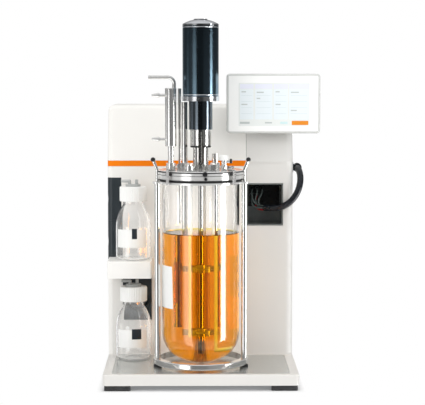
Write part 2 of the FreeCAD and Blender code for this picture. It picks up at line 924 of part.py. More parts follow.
def rear_ports():
    """Hose barbs for the gases and the cooling water, each with its nut on the rear panel."""
    barbs = []
    for x in PORTS:
        outline = [
            ("port_bore", "-port_stub - panel_thick"),
            ("port_radius", "-port_stub - panel_thick"),
            ("port_radius", "0"),
            ("port_nut", "0"),
            ("port_nut", "port_nut_thick"),
            ("port_radius - port_swell", "port_nut_thick"),
            ("port_radius - port_swell", "port_reach - port_tip"),
            ("port_radius + port_swell", "port_reach - port_tip"),
            ("port_radius - port_swell", "port_reach"),
            ("port_bore", "port_reach"),
        ]
        barbs.append(turned(outline, x, "base_depth", "port_level", "Y"))
    node("rear_ports", group(*barbs))


def fan():
    half = "fan_size/2"
    xs, zs = (f"fan_x - {half}", f"fan_x + {half}"), (f"fan_level - {half}", f"fan_level + {half}")
    front = "panel_y - fan_thick"
    frame = slab(xs, (front, "panel_y"), zs, "fan_spider", facing="-Y")
    throat = rod("fan_bore", f"fan_thick + 2*{OVER}", "fan_x", f"{front} - {OVER}", "fan_level", "Y")
    spider = rod("fan_hub", "fan_spider", "fan_x", front, "fan_level", "Y")
    bar_y = (front, f"{front} + fan_spider")
    level = block(
        ("fan_x - fan_bore - 1", "fan_x + fan_bore + 1"),
        bar_y,
        ("fan_level - fan_spider/2", "fan_level + fan_spider/2"),
    )
    upright = block(
        ("fan_x - fan_spider/2", "fan_x + fan_spider/2"),
        bar_y,
        ("fan_level - fan_bore - 1", "fan_level + fan_bore + 1"),
    )
    pin = rod("fan_pin", "fan_thick - 3*fan_blade_gap", "fan_x", front, "fan_level", "Y")
    node("fan_frame", plus(minus(frame, throat), spider, level, upright, pin))
    start = f"{front} + fan_spider + fan_blade_gap"
    length = "fan_thick - fan_spider - 3*fan_blade_gap"
    hub = rod("fan_hub", length, "fan_x", start, "fan_level", "Y")
    blades = []
    count = int(value("fan_blades"))
    for i in range(count):
        blade = doc.addObject("Part::Box", "Blade")
        blade.setExpression("Length", formula("fan_bore - fan_blade_gap - fan_hub/2"))
        blade.setExpression("Width", formula(length))
        blade.setExpression("Height", formula("fan_blade_thick"))
        angle = 360 * i / count
        turn = FreeCAD.Rotation(V(0, -1, 0), angle)
        reach = "(fan_hub/2)"
        blades.append(
            place(
                blade,
                f"fan_x + {reach}*cos({angle}) + fan_blade_thick/2*sin({angle})",
                start,
                f"fan_level + {reach}*sin({angle}) - fan_blade_thick/2*cos({angle})",
                turn,
            )
        )
    bore = rod(
        "fan_pin + running_gap", f"fan_thick + {OVER}", "fan_x", f"{front} - 1", "fan_level", "Y"
    )
    node("fan_rotor", minus(plus(hub, *blades), bore))


def inlet_body_spans():
    inner = "(2*inlet_flange)"
    return (
        (f"inlet_x - inlet_width/2 + {inner}", f"inlet_x + inlet_width/2 - {inner}"),
        (f"inlet_level - inlet_height/2 + {inner}", f"inlet_level + inlet_height/2 - {inner}"),
    )


def power_inlet():
    """The mains inlet and the aperture of its switch, and the rocker in it."""
    face = "base_depth + inlet_flange"
    flange = slab(
        ("inlet_x - inlet_width/2", "inlet_x + inlet_width/2"),
        ("base_depth", face),
        ("inlet_level - inlet_height/2", "inlet_level + inlet_height/2"),
        "inlet_flange",
        facing="-Y",
    )
    body_x, body_z = inlet_body_spans()
    body = block(body_x, ("panel_y - inlet_body", "base_depth"), body_z)
    socket_left = "inlet_x - inlet_width/2 + inlet_margin"
    socket_x = (socket_left, f"{socket_left} + inlet_socket_width")
    half = "inlet_socket_height/2"
    socket_z = (f"inlet_level - {half}", f"inlet_level + {half}")
    socket = slab(
        socket_x, (f"{face} - inlet_socket_depth", f"{face} + 1"), socket_z, "inlet_blade", facing="-Y"
    )
    blades = []
    for step, side in ((-1, -1), (0, 1), (1, -1)):
        x = f"{socket_left} + inlet_socket_width/2 + {step}*inlet_socket_width/4"
        z = f"inlet_level + {side}*inlet_blade_stagger"
        blades.append(
            block(
                (f"{x} - inlet_blade/2", f"{x} + inlet_blade/2"),
                (f"{face} - inlet_socket_depth - 1", f"{face} - inlet_blade_sunk"),
                (f"{z} - inlet_blade_height/2", f"{z} + inlet_blade_height/2"),
            )
        )
    wide, high = "(rocker_width/2 + rocker_gap)", "(rocker_height/2 + rocker_gap)"
    aperture = block(
        (f"{ROCKER_X} - {wide}", f"{ROCKER_X} + {wide}"),
        (f"{face} - 2*rocker_thick", f"{face} + 1"),
        (f"inlet_level - {high}", f"inlet_level + {high}"),
    )
    pin_x = f"{ROCKER_X} - rocker_width/2 - 2*rocker_gap"
    pin_length = "rocker_width + 4*rocker_gap"
    seat = rod("rocker_pin + running_gap", pin_length, pin_x, ROCKER_Y, "inlet_level", "X")
    node("power_inlet", plus(minus(plus(flange, body), socket, aperture, seat), *blades))
    rocker = slab(
        (f"{ROCKER_X} - rocker_width/2", f"{ROCKER_X} + rocker_width/2"),
        (f"{ROCKER_Y} - rocker_thick/2", f"{ROCKER_Y} + rocker_thick/2"),
        ("inlet_level - rocker_height/2", "inlet_level + rocker_height/2"),
        "rocker_pin",
        facing="-Y",
    )
    short = "rocker_gap*0.25"
    pin = rod("rocker_pin", f"{pin_length} - 2*{short}", f"{pin_x} + {short}", ROCKER_Y, "inlet_level", "X")
    node("power_switch", plus(rocker, pin))


ROCKER_X = "(inlet_x + inlet_width/2 - inlet_margin - rocker_width/2)"
ROCKER_Y = "(base_depth + inlet_flange - rocker_thick/4)"


# pumps


def pump(number, xs, ys, zs, side):
    """A pump head with its race, and its rotor on its motor's shaft. Depths run in from its face."""
    mid_z = f"(({zs[0]}) + ({zs[1]}))/2"
    if side == "-X":
        mid_y = f"(({ys[0]}) + ({ys[1]}))/2"

        def inward(radius, near, far, across="0", up="0"):
            start = f"({xs[0]}) + {near}"
            return rod(radius, f"({far}) - ({near})", start, f"{mid_y} + {across}", f"{mid_z} + {up}", "X")

        def is_corner(edge, shape):
            box = edge.BoundBox
            return runs_through(edge, shape) and max(box.XMax, box.YMax) < NEAR

        outline = rectangle("0", "pump_thick", "0", "pump_width")
        head = extruded(outline, "pump_height", xs[0], ys[0], zs[0], "Z", [("main_round", is_corner)])
    else:
        mid_x = f"(({xs[0]}) + ({xs[1]}))/2"

        def inward(radius, near, far, across="0", up="0"):
            start = f"({ys[0]}) + {near}"
            return rod(radius, f"({far}) - ({near})", f"{mid_x} + {across}", start, f"{mid_z} + {up}", "Y")

        head = slab(xs, ys, zs, "front_pump_proud", facing="-Y")
    race = inward("race_radius", f"-{OVER}", "race_depth")
    hole = inward("pump_shaft + running_gap", "0", "2*pump_thick")
    node(f"pump_head_{number}", minus(head, race, hole))

    back = "race_depth - rotor_back_gap"
    discs = [
        inward("rotor_disc", "rotor_inset", "rotor_inset + rotor_disc_thick"),
        inward("rotor_disc", f"{back} - rotor_disc_thick", back),
    ]
    hub = inward("rotor_hub", "rotor_inset", back)
    shaft = inward("pump_shaft", "rotor_inset", "pump_thick + pump_shaft_reach - fit_gap")
    rollers = []
    for angle in (90, 210, 330):
        across, up = f"roller_circle*cos({angle})", f"roller_circle*sin({angle})"
        near, far = "rotor_inset + rotor_disc_thick", f"{back} - rotor_disc_thick"
        rollers.append(inward("roller_radius", near, far, across, up))
    node(f"pump_rotor_{number}", group(plus(*discs, hub, shaft), *rollers))
    motor = inward("pump_motor_radius", "pump_thick", "pump_thick + pump_motor_length")
    return minus(motor, inward("pump_shaft + running_gap", "0", "pump_thick + pump_shaft_reach"))


def pumps():
    motors = [pump(number, *limits) for number, limits in enumerate(PUMPS, 1)]
    node("pump_motors", group(*motors))


# shelf and bottles


def bottle_shelf():
    xs = ("shelf_left", "shelf_left + shelf_width")
    ys = ("tray_depth - shelf_depth", "tray_depth")
    zs = ("shelf_level - shelf_height", "shelf_level")
    hollow = slab(
        grown(xs, "-shelf_wall"),
        (f"{ys[0]} + shelf_wall", f"{ys[1]} - shelf_wall"),
        (f"{zs[0]} - 1", f"{zs[1]} - shelf_wall"),
        "shelf_corner - shelf_wall",
    )
    node("bottle_shelf", minus(slab(xs, ys, zs, "shelf_corner", "shelf_wall/2"), hollow))


def bottle(number, level):
    """A reagent bottle with its two-part transfer cap: an insert that seals, and a ring that screws down."""
    inner, neck = "(bottle_radius - bottle_wall)", "(bottle_neck_radius - bottle_wall)"
    neck_z = "bottle_height - bottle_neck_length"
    glass = [
        ("0", "0"),
        ("bottle_radius - bottle_heel", "0"),
        ("bottle_radius", "bottle_heel", "bottle_heel"),
        ("bottle_radius", "bottle_shoulder_level"),
        ("bottle_neck_radius", neck_z, "bottle_shoulder_round"),
        ("bottle_neck_radius", "bottle_height"),
        (neck, "bottle_height"),
        (neck, neck_z),
        (inner, "bottle_shoulder_level", "-(bottle_shoulder_round - bottle_wall)"),
        (inner, "bottle_heel"),
        ("bottle_radius - bottle_heel", "bottle_wall", "-(bottle_heel - bottle_wall)"),
        ("0", "bottle_wall"),
    ]
    node(f"bottle_{number}", turned(glass, "bottle_x", "bottle_y", level))

    seat = "(bottle_height + fit_gap)"
    boss_top = "(bottle_height + 2*fit_gap + insert_flange + cap_top + insert_rise)"
    plug = [
        ("0", seat),
        ("bottle_neck_radius", seat),
        ("bottle_neck_radius", f"{seat} + insert_flange"),
        ("insert_boss", f"{seat} + insert_flange"),
        ("insert_boss", boss_top),
        ("0", boss_top),
    ]
    body = turned(plug, "bottle_x", "bottle_y", level)
    near, far = "bottle_x - barb_spread", "bottle_x + barb_spread"
    rise, sunk = f"({level}) + {boss_top}", "1"
    elbow = f"{rise} + barb_rise"
    riser = rod("barb_radius", f"barb_rise + {sunk}", near, "bottle_y", f"{rise} - {sunk}")
    side = rod("barb_radius", "barb_length", near, "bottle_y", elbow, "-X")
    upright = rod("barb_radius", f"barb_rise + barb_radius + {sunk}", far, "bottle_y", f"{rise} - {sunk}")
    solid = plus(body, riser, ball("barb_radius", near, "bottle_y", elbow), side, upright)
    drop = f"({level}) + {seat} - 1"
    depth = "insert_flange + cap_top + insert_rise + barb_rise + 1"
    bores = [
        rod("barb_bore", depth, near, "bottle_y", drop),
        rod("barb_bore", f"barb_length + {OVER}", near, "bottle_y", elbow, "-X"),
        rod("barb_bore", f"{depth} + {OVER}", far, "bottle_y", drop),
    ]
    node(f"cap_insert_{number}", minus(solid, *bores))

    roof = f"({seat} + insert_flange + fit_gap)"
    bore = "(bottle_neck_radius + cap_thread_gap)"
    ring = [
        (bore, "bottle_height - cap_skirt"),
        ("cap_radius", "bottle_height - cap_skirt"),
        ("cap_radius", f"{roof} + cap_top - cap_round"),
        ("cap_radius - cap_round", f"{roof} + cap_top", "cap_round"),
        ("cap_hole", f"{roof} + cap_top"),
        ("cap_hole", roof),
        (bore, roof),
    ]
    node(f"cap_ring_{number}", turned(ring, "bottle_x", "bottle_y", level))


# touch screen

SCREEN_X = ("screen_x - screen_width/2", "screen_x + screen_width/2")
SCREEN_Z = ("screen_level", "screen_level + screen_height")


def touch_screen():
    """The screen's case with its two hinge lugs, its front glass, and the column's arm that carries it."""
    case = slab(SCREEN_X, ("screen_y", "screen_back"), SCREEN_Z, "screen_corner", "screen_round", "-Y")
    glass_x, glass_z = grown(SCREEN_X, "-screen_border"), grown(SCREEN_Z, "-screen_border")
    recess = slab(
        grown(glass_x, "fit_gap"),
        (f"screen_y - {OVER}", "screen_y + screen_glass_thick"),
        grown(glass_z, "fit_gap"),
        "screen_corner - screen_border + fit_gap",
        facing="-Y",
    )
    lugs = []
    for inner, outer in (
        ("screen_x - hinge_width/2 - fit_gap", "screen_x - hinge_width/2 - fit_gap - lug_width"),
        ("screen_x + hinge_width/2 + fit_gap + lug_width", "screen_x + hinge_width/2 + fit_gap"),
    ):
        lug_z = ("hinge_z - hinge_radius", "hinge_z + hinge_radius")
        lugs.append(block((outer, inner), ("screen_back - screen_round", "hinge_y"), lug_z))
        lugs.append(rod("hinge_radius", "lug_width", outer, "hinge_y", "hinge_z", "X"))
    pin_x = "screen_x - hinge_width/2 - lug_width - fit_gap"
    pin_length = "hinge_width + 2*lug_width + 2*fit_gap"
    bore = rod("hinge_pin + running_gap", f"{pin_length} + 2", f"{pin_x} - 1", "hinge_y", "hinge_z", "X")
    node("screen_case", minus(plus(minus(case, recess), *lugs), bore))
    glass_y = ("screen_y", "screen_y + screen_glass_thick")
    corner = "screen_corner - screen_border"
    node("screen_front", slab(glass_x, glass_y, glass_z, corner, facing="-Y"))

    arm_x = ("screen_x - hinge_width/2", "screen_x + hinge_width/2")
    arm_y = ("hinge_y", "tray_depth + head_lean + shell_wall")
    arm = block(arm_x, arm_y, ("hinge_z - hinge_radius", "hinge_z + hinge_radius"))
    barrel = rod("hinge_radius", "hinge_width", arm_x[0], "hinge_y", "hinge_z", "X")
    pin = rod("hinge_pin", pin_length, pin_x, "hinge_y", "hinge_z", "X")
    column = cover_solid(COLUMN_X, "0", "column_round", "X")
    node("screen_arm", plus(minus(arm, column), barrel, pin))


# vessel stand

ROD_ANGLES = ("180 + rod_lead", "360 - rod_lead", "90")
CLAMP_ANGLES = (45, 135, 225, 315)


def ring(outer, inner, low, high):
    outline = [(inner, low), (outer, low), (outer, high), (inner, high)]
    return turned(outline, "0", "axis_y", "0")


def vessel_stand():
    """The tray ring on its rubber pads, three rods up from it, and the ring that the vessel hangs in."""
    edge = "stand_ring_round"
    outline = [
        ("stand_ring_inner", "pad_height"),
        (f"stand_ring_outer - {edge}", "pad_height"),
        ("stand_ring_outer", f"pad_height + {edge}", edge),
        ("stand_ring_outer", f"ring_top - {edge}"),
        (f"stand_ring_outer - {edge}", "ring_top", edge),
        ("stand_ring_inner", "ring_top"),
    ]
    node("stand_ring", turned(outline, "0", "axis_y", "0"))
    rods, pads, knobs, lugs, holes = [], [], [], [], []
    for angle in ROD_ANGLES:
        x, y = on_circle("rod_circle", angle)
        pads.append(rod("pad_radius", "pad_height", x, y, "0"))
        leg = rod("rod_radius", "stand_top - ring_top", x, y, "ring_top")
        if angle == "90":
            pin = rod("handle_radius", "top_ring_thick + 2*handle_radius", x, y, "stand_top")
            rods.append(plus(leg, pin))
        else:
            out = f"({x}) + handle_out" if angle.startswith("360") else f"({x}) - handle_out"
            bend, tip = "stand_top + handle_rise", "stand_top + handle_rise + handle_tip"
            pin = rod("handle_radius", "handle_rise", x, y, "stand_top")
            arm = strut("handle_radius", (x, y, bend), (out, y, tip))
            rods.append(plus(leg, pin, ball("handle_radius", x, y, bend), arm))
            socket = strut("handle_radius + running_gap", (x, y, bend), (out, y, f"{tip} + running_gap"))
            knobs.append(minus(ball("knob_radius", out, y, tip), socket))
        lugs.append(rod("lug_radius", "top_ring_thick", x, y, "stand_top"))
        depth = f"top_ring_thick + 2*{OVER}"
        holes.append(rod("handle_radius + fit_gap", depth, x, y, f"stand_top - {OVER}"))
    node("stand_rods", group(*rods))
    node("stand_pads", group(*pads))
    node("handle_knobs", group(*knobs))
    hoop = ring("flange_radius + ring_lip/2", "glass_radius + ring_lip/4", "stand_top", "ring_bottom")
    reach, width = "clamp_lip + 2*fit_gap", "clamp_width + 2*fit_gap"
    gaps = [
        clamp_block(angle, reach, "clamp_wall", width, "stand_top - 1", "ring_bottom + 1")
        for angle in CLAMP_ANGLES
    ]
    node("stand_top_ring", minus(plus(hoop, *lugs), *gaps, *holes))


def clamp_block(angle, inner, outer, width, low, high):
    """A block across the flange's edge: it reaches in and out from that edge by two lengths."""
    near, far = f"flange_radius - ({inner})", f"flange_radius + {outer}"
    return spoke(near, far, width, f"({high}) - ({low})", "0", "axis_y", low, angle)


# vessel


def dish(offset):
    """A dished bottom at an offset outside the bore: where crown meets knuckle, and the knuckle's top."""
    reach = "(bore_radius - knuckle_radius)"
    span = "(crown_radius - knuckle_radius)"
    drop = f"sqrt({span}^2 - {reach}^2)"
    floor = "(vessel_clear + glass_wall)"
    crown = f"(crown_radius + {offset})"
    meet = (f"{crown}*{reach}/{span}", f"{floor} + crown_radius - {crown}*{drop}/{span}")
    return meet, f"{floor} + crown_radius - {drop}"


def vessel_glass():
    """The vessel: one wall from its dished bottom up to its rim."""
    floor = "vessel_clear + glass_wall"
    (outer_r, outer_z), knuckle_z = dish("glass_wall")
    (inner_r, inner_z), _ = dish("0")
    outline = [
        ("0", "vessel_clear"),
        (outer_r, outer_z, "crown_radius + glass_wall"),
        ("glass_radius", knuckle_z, "knuckle_radius + glass_wall"),
        ("glass_radius", "rim_top - rim_thick"),
        ("rim_radius", "rim_top - rim_thick"),
        ("rim_radius", "rim_top"),
        ("bore_radius", "rim_top"),
        ("bore_radius", knuckle_z),
        (inner_r, inner_z, "-knuckle_radius"),
        ("0", floor, "-crown_radius"),
    ]
    node("vessel_glass", turned(outline, "0", "axis_y", "0"))


def culture_liquid():
    """The filling, open round everything that hangs in it."""
    floor = "vessel_clear + glass_wall + fit_gap"
    (meet_r, meet_z), knuckle_z = dish("(-fit_gap)")
    outline = [
        ("0", floor),
        (meet_r, meet_z, "crown_radius - fit_gap"),
        ("bore_radius - fit_gap", knuckle_z, "knuckle_radius - fit_gap"),
        ("bore_radius - fit_gap", "liquid_level"),
        ("0", "liquid_level"),
    ]
    filling = turned(outline, "0", "axis_y", "0")
    gap = "fit_gap"
    length = "liquid_level - shaft_bottom + 2"
    swept = [rod(f"shaft_radius + {gap}", length, "0", "axis_y", "shaft_bottom - 1")]
    for i in range(2):
        low = f"impeller_low + {i}*impeller_pitch - impeller_hub_height/2 - {gap}"
        swept.append(rod(f"blade_outer + {gap}", f"impeller_hub_height + 2*{gap}", "0", "axis_y", low))
    node("culture_liquid", minus(filling, *swept, *immersed(gap)))


def flange():
    """The steel ring under the glass rim, the seal, the head plate and the four clamps that close them."""
    under = "rim_top - rim_thick"
    lip = "glass_radius + fit_gap"
    outline = [
        (lip, "ring_bottom"),
        ("ring_foot_radius", "ring_bottom"),
        ("ring_foot_radius", "ring_bottom + ring_groove"),
        ("flange_radius", "ring_bottom + ring_groove"),
        ("flange_radius", "rim_top"),
        ("rim_radius + fit_gap", "rim_top"),
        ("rim_radius + fit_gap", under),
        (lip, under),
    ]
    node("flange_ring", turned(outline, "0", "axis_y", "0"))
    node("flange_seal", ring("flange_radius - 1", "bore_radius", "rim_top", "plate_bottom"))
    edge = "clamp_wrap/3"
    outline = [
        ("0", "plate_bottom"),
        ("flange_radius", "plate_bottom"),
        ("flange_radius", f"plate_top - {edge}"),
        (f"flange_radius - {edge}", "plate_top", edge),
        ("0", "plate_top"),
    ]
    plate = turned(outline, "0", "axis_y", "0")
    depth = f"plate_thick + 2*{OVER}"
    holes = [rod(radius, depth, x, y, f"plate_bottom - {OVER}") for radius, x, y in plate_holes()]
    node("head_plate", minus(plate, *holes))
    clamps = []
    for angle in CLAMP_ANGLES:
        low, high = "stand_top", "plate_top + clamp_wrap"
        outer = clamp_block(angle, "clamp_lip", "clamp_wall", "clamp_width", low, high)
        reach, width = f"clamp_lip + {OVER}", f"clamp_width + {OVER}"
        mouth = clamp_block(angle, reach, "fit_gap", width, "ring_bottom", "plate_top + fit_gap")
        clamps.append(minus(outer, mouth))
    node("clamps", group(*clamps))


# agitator and its drive


def drive():
    """The bearing column on the head plate, open at both sides of the shaft, and the motor on top."""
    bearing = "shaft_radius + running_gap"
    low_flange = "plate_top + column_flange_thick"
    outline = [
        (bearing, "plate_top"),
        ("column_flange", "plate_top"),
        ("column_flange", low_flange),
        ("neck_radius", low_flange),
        ("neck_radius", "neck_top"),
        ("groove_radius", "neck_top"),
        ("groove_radius", "cage_bottom"),
        ("cage_radius", "cage_bottom"),
        ("cage_radius", "cage_top"),
        ("cage_bore", "cage_top"),
        ("cage_bore", "plate_top + bearing_thick"),
        (bearing, "plate_top + bearing_thick"),
    ]
    half = "window_width/2"
    window = block(
        (f"-{half}", half),
        ("axis_y - 2*cage_radius", "axis_y + 2*cage_radius"),
        (f"{low_flange} + window_width/2", "cage_top - window_width/2"),
    )
    node("drive_column", minus(turned(outline, "0", "axis_y", "0"), window))
    node("motor_adapter", ring("adapter_radius", "cage_bore", "cage_top", "adapter_top"))
    node("motor_flange", ring("motor_flange_radius", "cage_bore", "adapter_top", "motor_bottom"))
    edge = "motor_cap_step"
    outline = [
        ("0", "motor_bottom"),
        (f"motor_radius - {edge}", "motor_bottom"),
        ("motor_radius", f"motor_bottom + {edge}", edge),
        ("motor_radius", "motor_top"),
        ("0", "motor_top"),
    ]
    node("motor_housing", turned(outline, "0", "axis_y", "0"))
    rim = "motor_cap_height/4"
    outline = [
        ("0", "motor_top"),
        ("motor_radius", "motor_top"),
        ("motor_radius", f"motor_top + {rim}"),
        ("motor_cap_flat", f"motor_top + motor_cap_height - {edge}", "2*motor_radius"),
        ("motor_cap_flat", "motor_top + motor_cap_height"),
        ("0", "motor_top + motor_cap_height"),
    ]
    node("motor_cap", turned(outline, "0", "axis_y", "0"))


def agitator():
    low, high = "cage_top + coupling_radius", "cage_top + coupling_radius + coupling_length"
    outline = [
        ("0", "shaft_bottom"),
        ("shaft_radius", "shaft_bottom"),
        ("shaft_radius", low),
        ("coupling_radius", low),
        ("coupling_radius", high),
        ("shaft_radius", high),
        ("shaft_radius", "shaft_top"),
        ("0", "shaft_top"),
    ]
    node("agitator_shaft", turned(outline, "0", "axis_y", "0"))
    impellers = []
    count = int(value("blade_count"))
    for i in range(2):
        middle = f"(impeller_low + {i}*impeller_pitch)"
        bore = "shaft_radius + running_gap"
        hub = ring("impeller_hub", bore, *about(middle, "impeller_hub_height"))
        disc = ring("impeller_disc", "impeller_hub - 1", *about(middle, "impeller_disc_thick"))
        low, _ = about(middle, "blade_height")
        shape = ("blade_inner", "blade_outer", "blade_thick", "blade_height")
        blades = [spoke(*shape, "0", "axis_y", low, 360 * k / count) for k in range(count)]
        impellers.append(plus(hub, disc, *blades))
    node("impellers", group(*impellers))


# head plate ports

PROBES = {
    "ph_probe": ("ph_probe_x", "axis_y + ph_probe_y"),
    "oxygen_probe": ("oxygen_probe_x", "axis_y + oxygen_probe_y"),
    "level_probe": ("level_probe_x", "axis_y + level_probe_y"),
}
SPARGER = ("sparger_x", "axis_y + sparger_y")
SAMPLE = ("sample_x", "axis_y + sample_y")
POCKET = ("pocket_x", "axis_y + pocket_y")
COOLER = ("cooler_x", "axis_y + cooler_y")
ADDITION = ("addition_x", "axis_y + addition_y")
PLUG = ("plug_x", "axis_y + plug_y")
SPARE = ("spare_x", "axis_y + spare_y")


def plate_holes():
    """Each hole through the head plate: its radius and place."""
    return [
        ("plate_bore", "0", "axis_y"),
        ("probe_radius + fit_gap", *PROBES["ph_probe"]),
        ("probe_radius + fit_gap", *PROBES["oxygen_probe"]),
        ("level_probe_stem + fit_gap", *PROBES["level_probe"]),
        ("sparger_radius + fit_gap", *SPARGER),
        ("sample_radius + fit_gap", *SAMPLE),
        ("pocket_radius + fit_gap", *POCKET),
        ("cooler_stem/2", *COOLER),
        ("addition_radius/2", *ADDITION),
        ("spare_bore + 1", *SPARE),
    ]


def straight(radius, low, high, spot):
    return rod(radius, f"({high}) - ({low})", spot[0], spot[1], low)


def sparger_pipe(radius, top, reach):
    """The gas feed: down from the head plate, then a bend towards the right under the lower impeller."""
    x, y = SPARGER
    return plus(
        straight(radius, "sparger_level", top, SPARGER),
        ball(radius, x, y, "sparger_level"),
        rod(radius, reach, x, y, "sparger_level", "X"),
    )


def immersed(grow):
    """Everything but the agitator that hangs into the filling, each a gap larger than it is."""
    over = f"liquid_level + {OVER}"
    return [
        straight(f"probe_radius + {grow}", f"probe_tip - {grow}", over, PROBES["ph_probe"]),
        straight(f"probe_radius + {grow}", f"probe_tip - {grow}", over, PROBES["oxygen_probe"]),
        sparger_pipe(f"sparger_radius + {grow}", over, f"sparger_reach + {grow}"),
        straight(f"sample_radius + {grow}", f"sample_tip - {grow}", over, SAMPLE),
        straight(f"pocket_radius + {grow}", f"pocket_tip - {grow}", over, POCKET),
    ]


def probes_and_tubes():
    ph = straight("probe_radius", "probe_tip", "plate_top + ph_probe_rise", PROBES["ph_probe"])
    oxygen = straight("probe_radius", "probe_tip", "plate_top + oxygen_probe_rise", PROBES["oxygen_probe"])
    spot = PROBES["level_probe"]
    low = "plate_top + level_probe_rise"
    stem = straight("level_probe_stem", "level_probe_tip", low, spot)
    level = plus(stem, straight("level_probe_radius", low, f"{low} + level_probe_length", spot))
    node("sensor_probes", group(ph, oxygen, level))

    high = "plate_top + tube_rise"
    wall = "sparger_radius/3"
    sparger = sparger_pipe("sparger_radius", high, "sparger_reach")
    sparger_bore = sparger_pipe(f"sparger_radius - {wall}", f"{high} + {OVER}", f"sparger_reach + {OVER}")
    sample = straight("sample_radius", "sample_tip", high, SAMPLE)
    sample_bore = straight(f"sample_radius - {wall}", f"sample_tip - {OVER}", f"{high} + {OVER}", SAMPLE)
    pocket = straight("pocket_radius", "pocket_tip", high, POCKET)
    pocket_bore = straight(f"pocket_radius - {wall}", f"pocket_tip + {wall}", f"{high} + {OVER}", POCKET)
    tubes = [minus(sparger, sparger_bore), minus(sample, sample_bore), minus(pocket, pocket_bore)]
    node("immersed_tubes", group(*tubes))


def hex_nut(radius, height, bore, spot):
    prism = doc.addObject("Part::Prism", "Nut")
    prism.Polygon = 6
    prism.setExpression("Circumradius", formula(radius))
    prism.setExpression("Height", formula(height))
    place(prism, spot[0], spot[1], "plate_top")
    return minus(prism, rod(bore, f"({height}) + 2", spot[0], spot[1], "plate_top - 1"))


def port_fittings():
    """The gland nuts of the probes and tubes, the addition port, a blanked port and a spare one."""
    large, small = ("nut_radius", "nut_height"), ("small_nut_radius", "small_nut_height")
    nuts = [
        hex_nut(*large, "probe_radius + fit_gap", PROBES["ph_probe"]),
        hex_nut(*large, "probe_radius + fit_gap", PROBES["oxygen_probe"]),
        hex_nut(*small, "level_probe_stem + fit_gap", PROBES["level_probe"]),
        hex_nut(*small, "sparger_radius + fit_gap", SPARGER),
        hex_nut(*small, "sample_radius + fit_gap", SAMPLE),
        hex_nut(*small, "pocket_radius + fit_gap", POCKET),
        hex_nut(*large, "spare_bore", SPARE),
    ]
    blank = plus(
        straight("nut_radius", "plate_top", "plate_top + small_nut_height", PLUG),
        straight("small_nut_radius", "plate_top", "plate_top + nut_height", PLUG),
    )
    x, y = ADDITION
    elbow = "plate_top + addition_rise"
    hose = "addition_radius/2"
    addition = plus(
        straight("small_nut_radius", "plate_top", "plate_top + small_nut_height", ADDITION),
        straight("addition_radius", "plate_top", f"{elbow} + addition_radius", ADDITION),
        rod("addition_radius*0.7", "addition_length", x, y, elbow, "X"),
    )
    bores = [
        straight(hose, "plate_top - 1", elbow, ADDITION),
        ball(hose, x, y, elbow),
        rod(hose, f"addition_length + {OVER}", x, y, elbow, "X"),
    ]
    node("port_fittings", group(*nuts, blank, minus(addition, *bores)))


def exit_cooler():
    """The exit-gas cooler on its stem, with its two water barbs and the gas outlet bent over to the left."""
    low = "(plate_top + cooler_foot)"
    high = f"({low} + cooler_length)"
    edge = "cooler_round"
    outline = [
        ("0", "plate_top"),
        ("nut_radius", "plate_top"),
        ("nut_radius", "plate_top + nut_height"),
        ("cooler_stem", "plate_top + nut_height"),
        ("cooler_stem", low),
        (f"cooler_radius - {edge}", low),
        ("cooler_radius", f"{low} + {edge}", edge),
        ("cooler_radius", f"{high} - {edge}"),
        (f"cooler_radius - {edge}", high, edge),
        ("0", high),
    ]
    shell = turned(outline, *COOLER, "0")
    x, y = COOLER
    parts, bores = [shell], [straight("cooler_stem/2", "plate_top - 1", f"{low} + {OVER}", COOLER)]
    for level in (f"{low} + cooler_barb_inset", f"{high} - cooler_barb_inset"):
        outline = [
            ("0", "0"),
            ("barb_radius", "0"),
            ("barb_radius", "cooler_radius + cooler_barb_length/3"),
            ("barb_radius + cooler_barb_swell", "cooler_radius + cooler_barb_length/2"),
            ("barb_radius - cooler_barb_taper", "cooler_radius + cooler_barb_length"),
            ("0", "cooler_radius + cooler_barb_length"),
        ]
        parts.append(turned(outline, x, y, level, "-X"))
        bores.append(rod("barb_bore", f"cooler_barb_length + {OVER}", f"{x} - cooler_radius", y, level, "-X"))
    pipe_x = f"{x} + outlet_offset"
    bend_z = f"{high} + outlet_rise - outlet_bend"
    for radius, spare, found in (("outlet_radius", "0", parts), ("outlet_radius*0.7", str(OVER), bores)):
        bend = doc.addObject("Part::Torus", "Bend")
        bend.setExpression("Radius1", formula("outlet_bend"))
        bend.setExpression("Radius2", formula(radius))
        bend.Angle3 = 90
        place(bend, f"{pipe_x} - outlet_bend", y, bend_z, FACING["-Y"])
        rise = rod(radius, f"({bend_z}) - ({high}) + {OVER}", pipe_x, y, f"{high} - {OVER}")
        reach, top = f"outlet_length - outlet_bend + {spare}", f"{high} + outlet_rise"
        run = rod(radius, reach, f"{pipe_x} - outlet_bend", y, top, "-X")
        found.extend([rise, bend, run])
    node("exit_cooler", minus(plus(*parts), *bores))


# cords: the routes' points are x from the housing's right side, y from its foot at the tray and z from
# the bay's floor

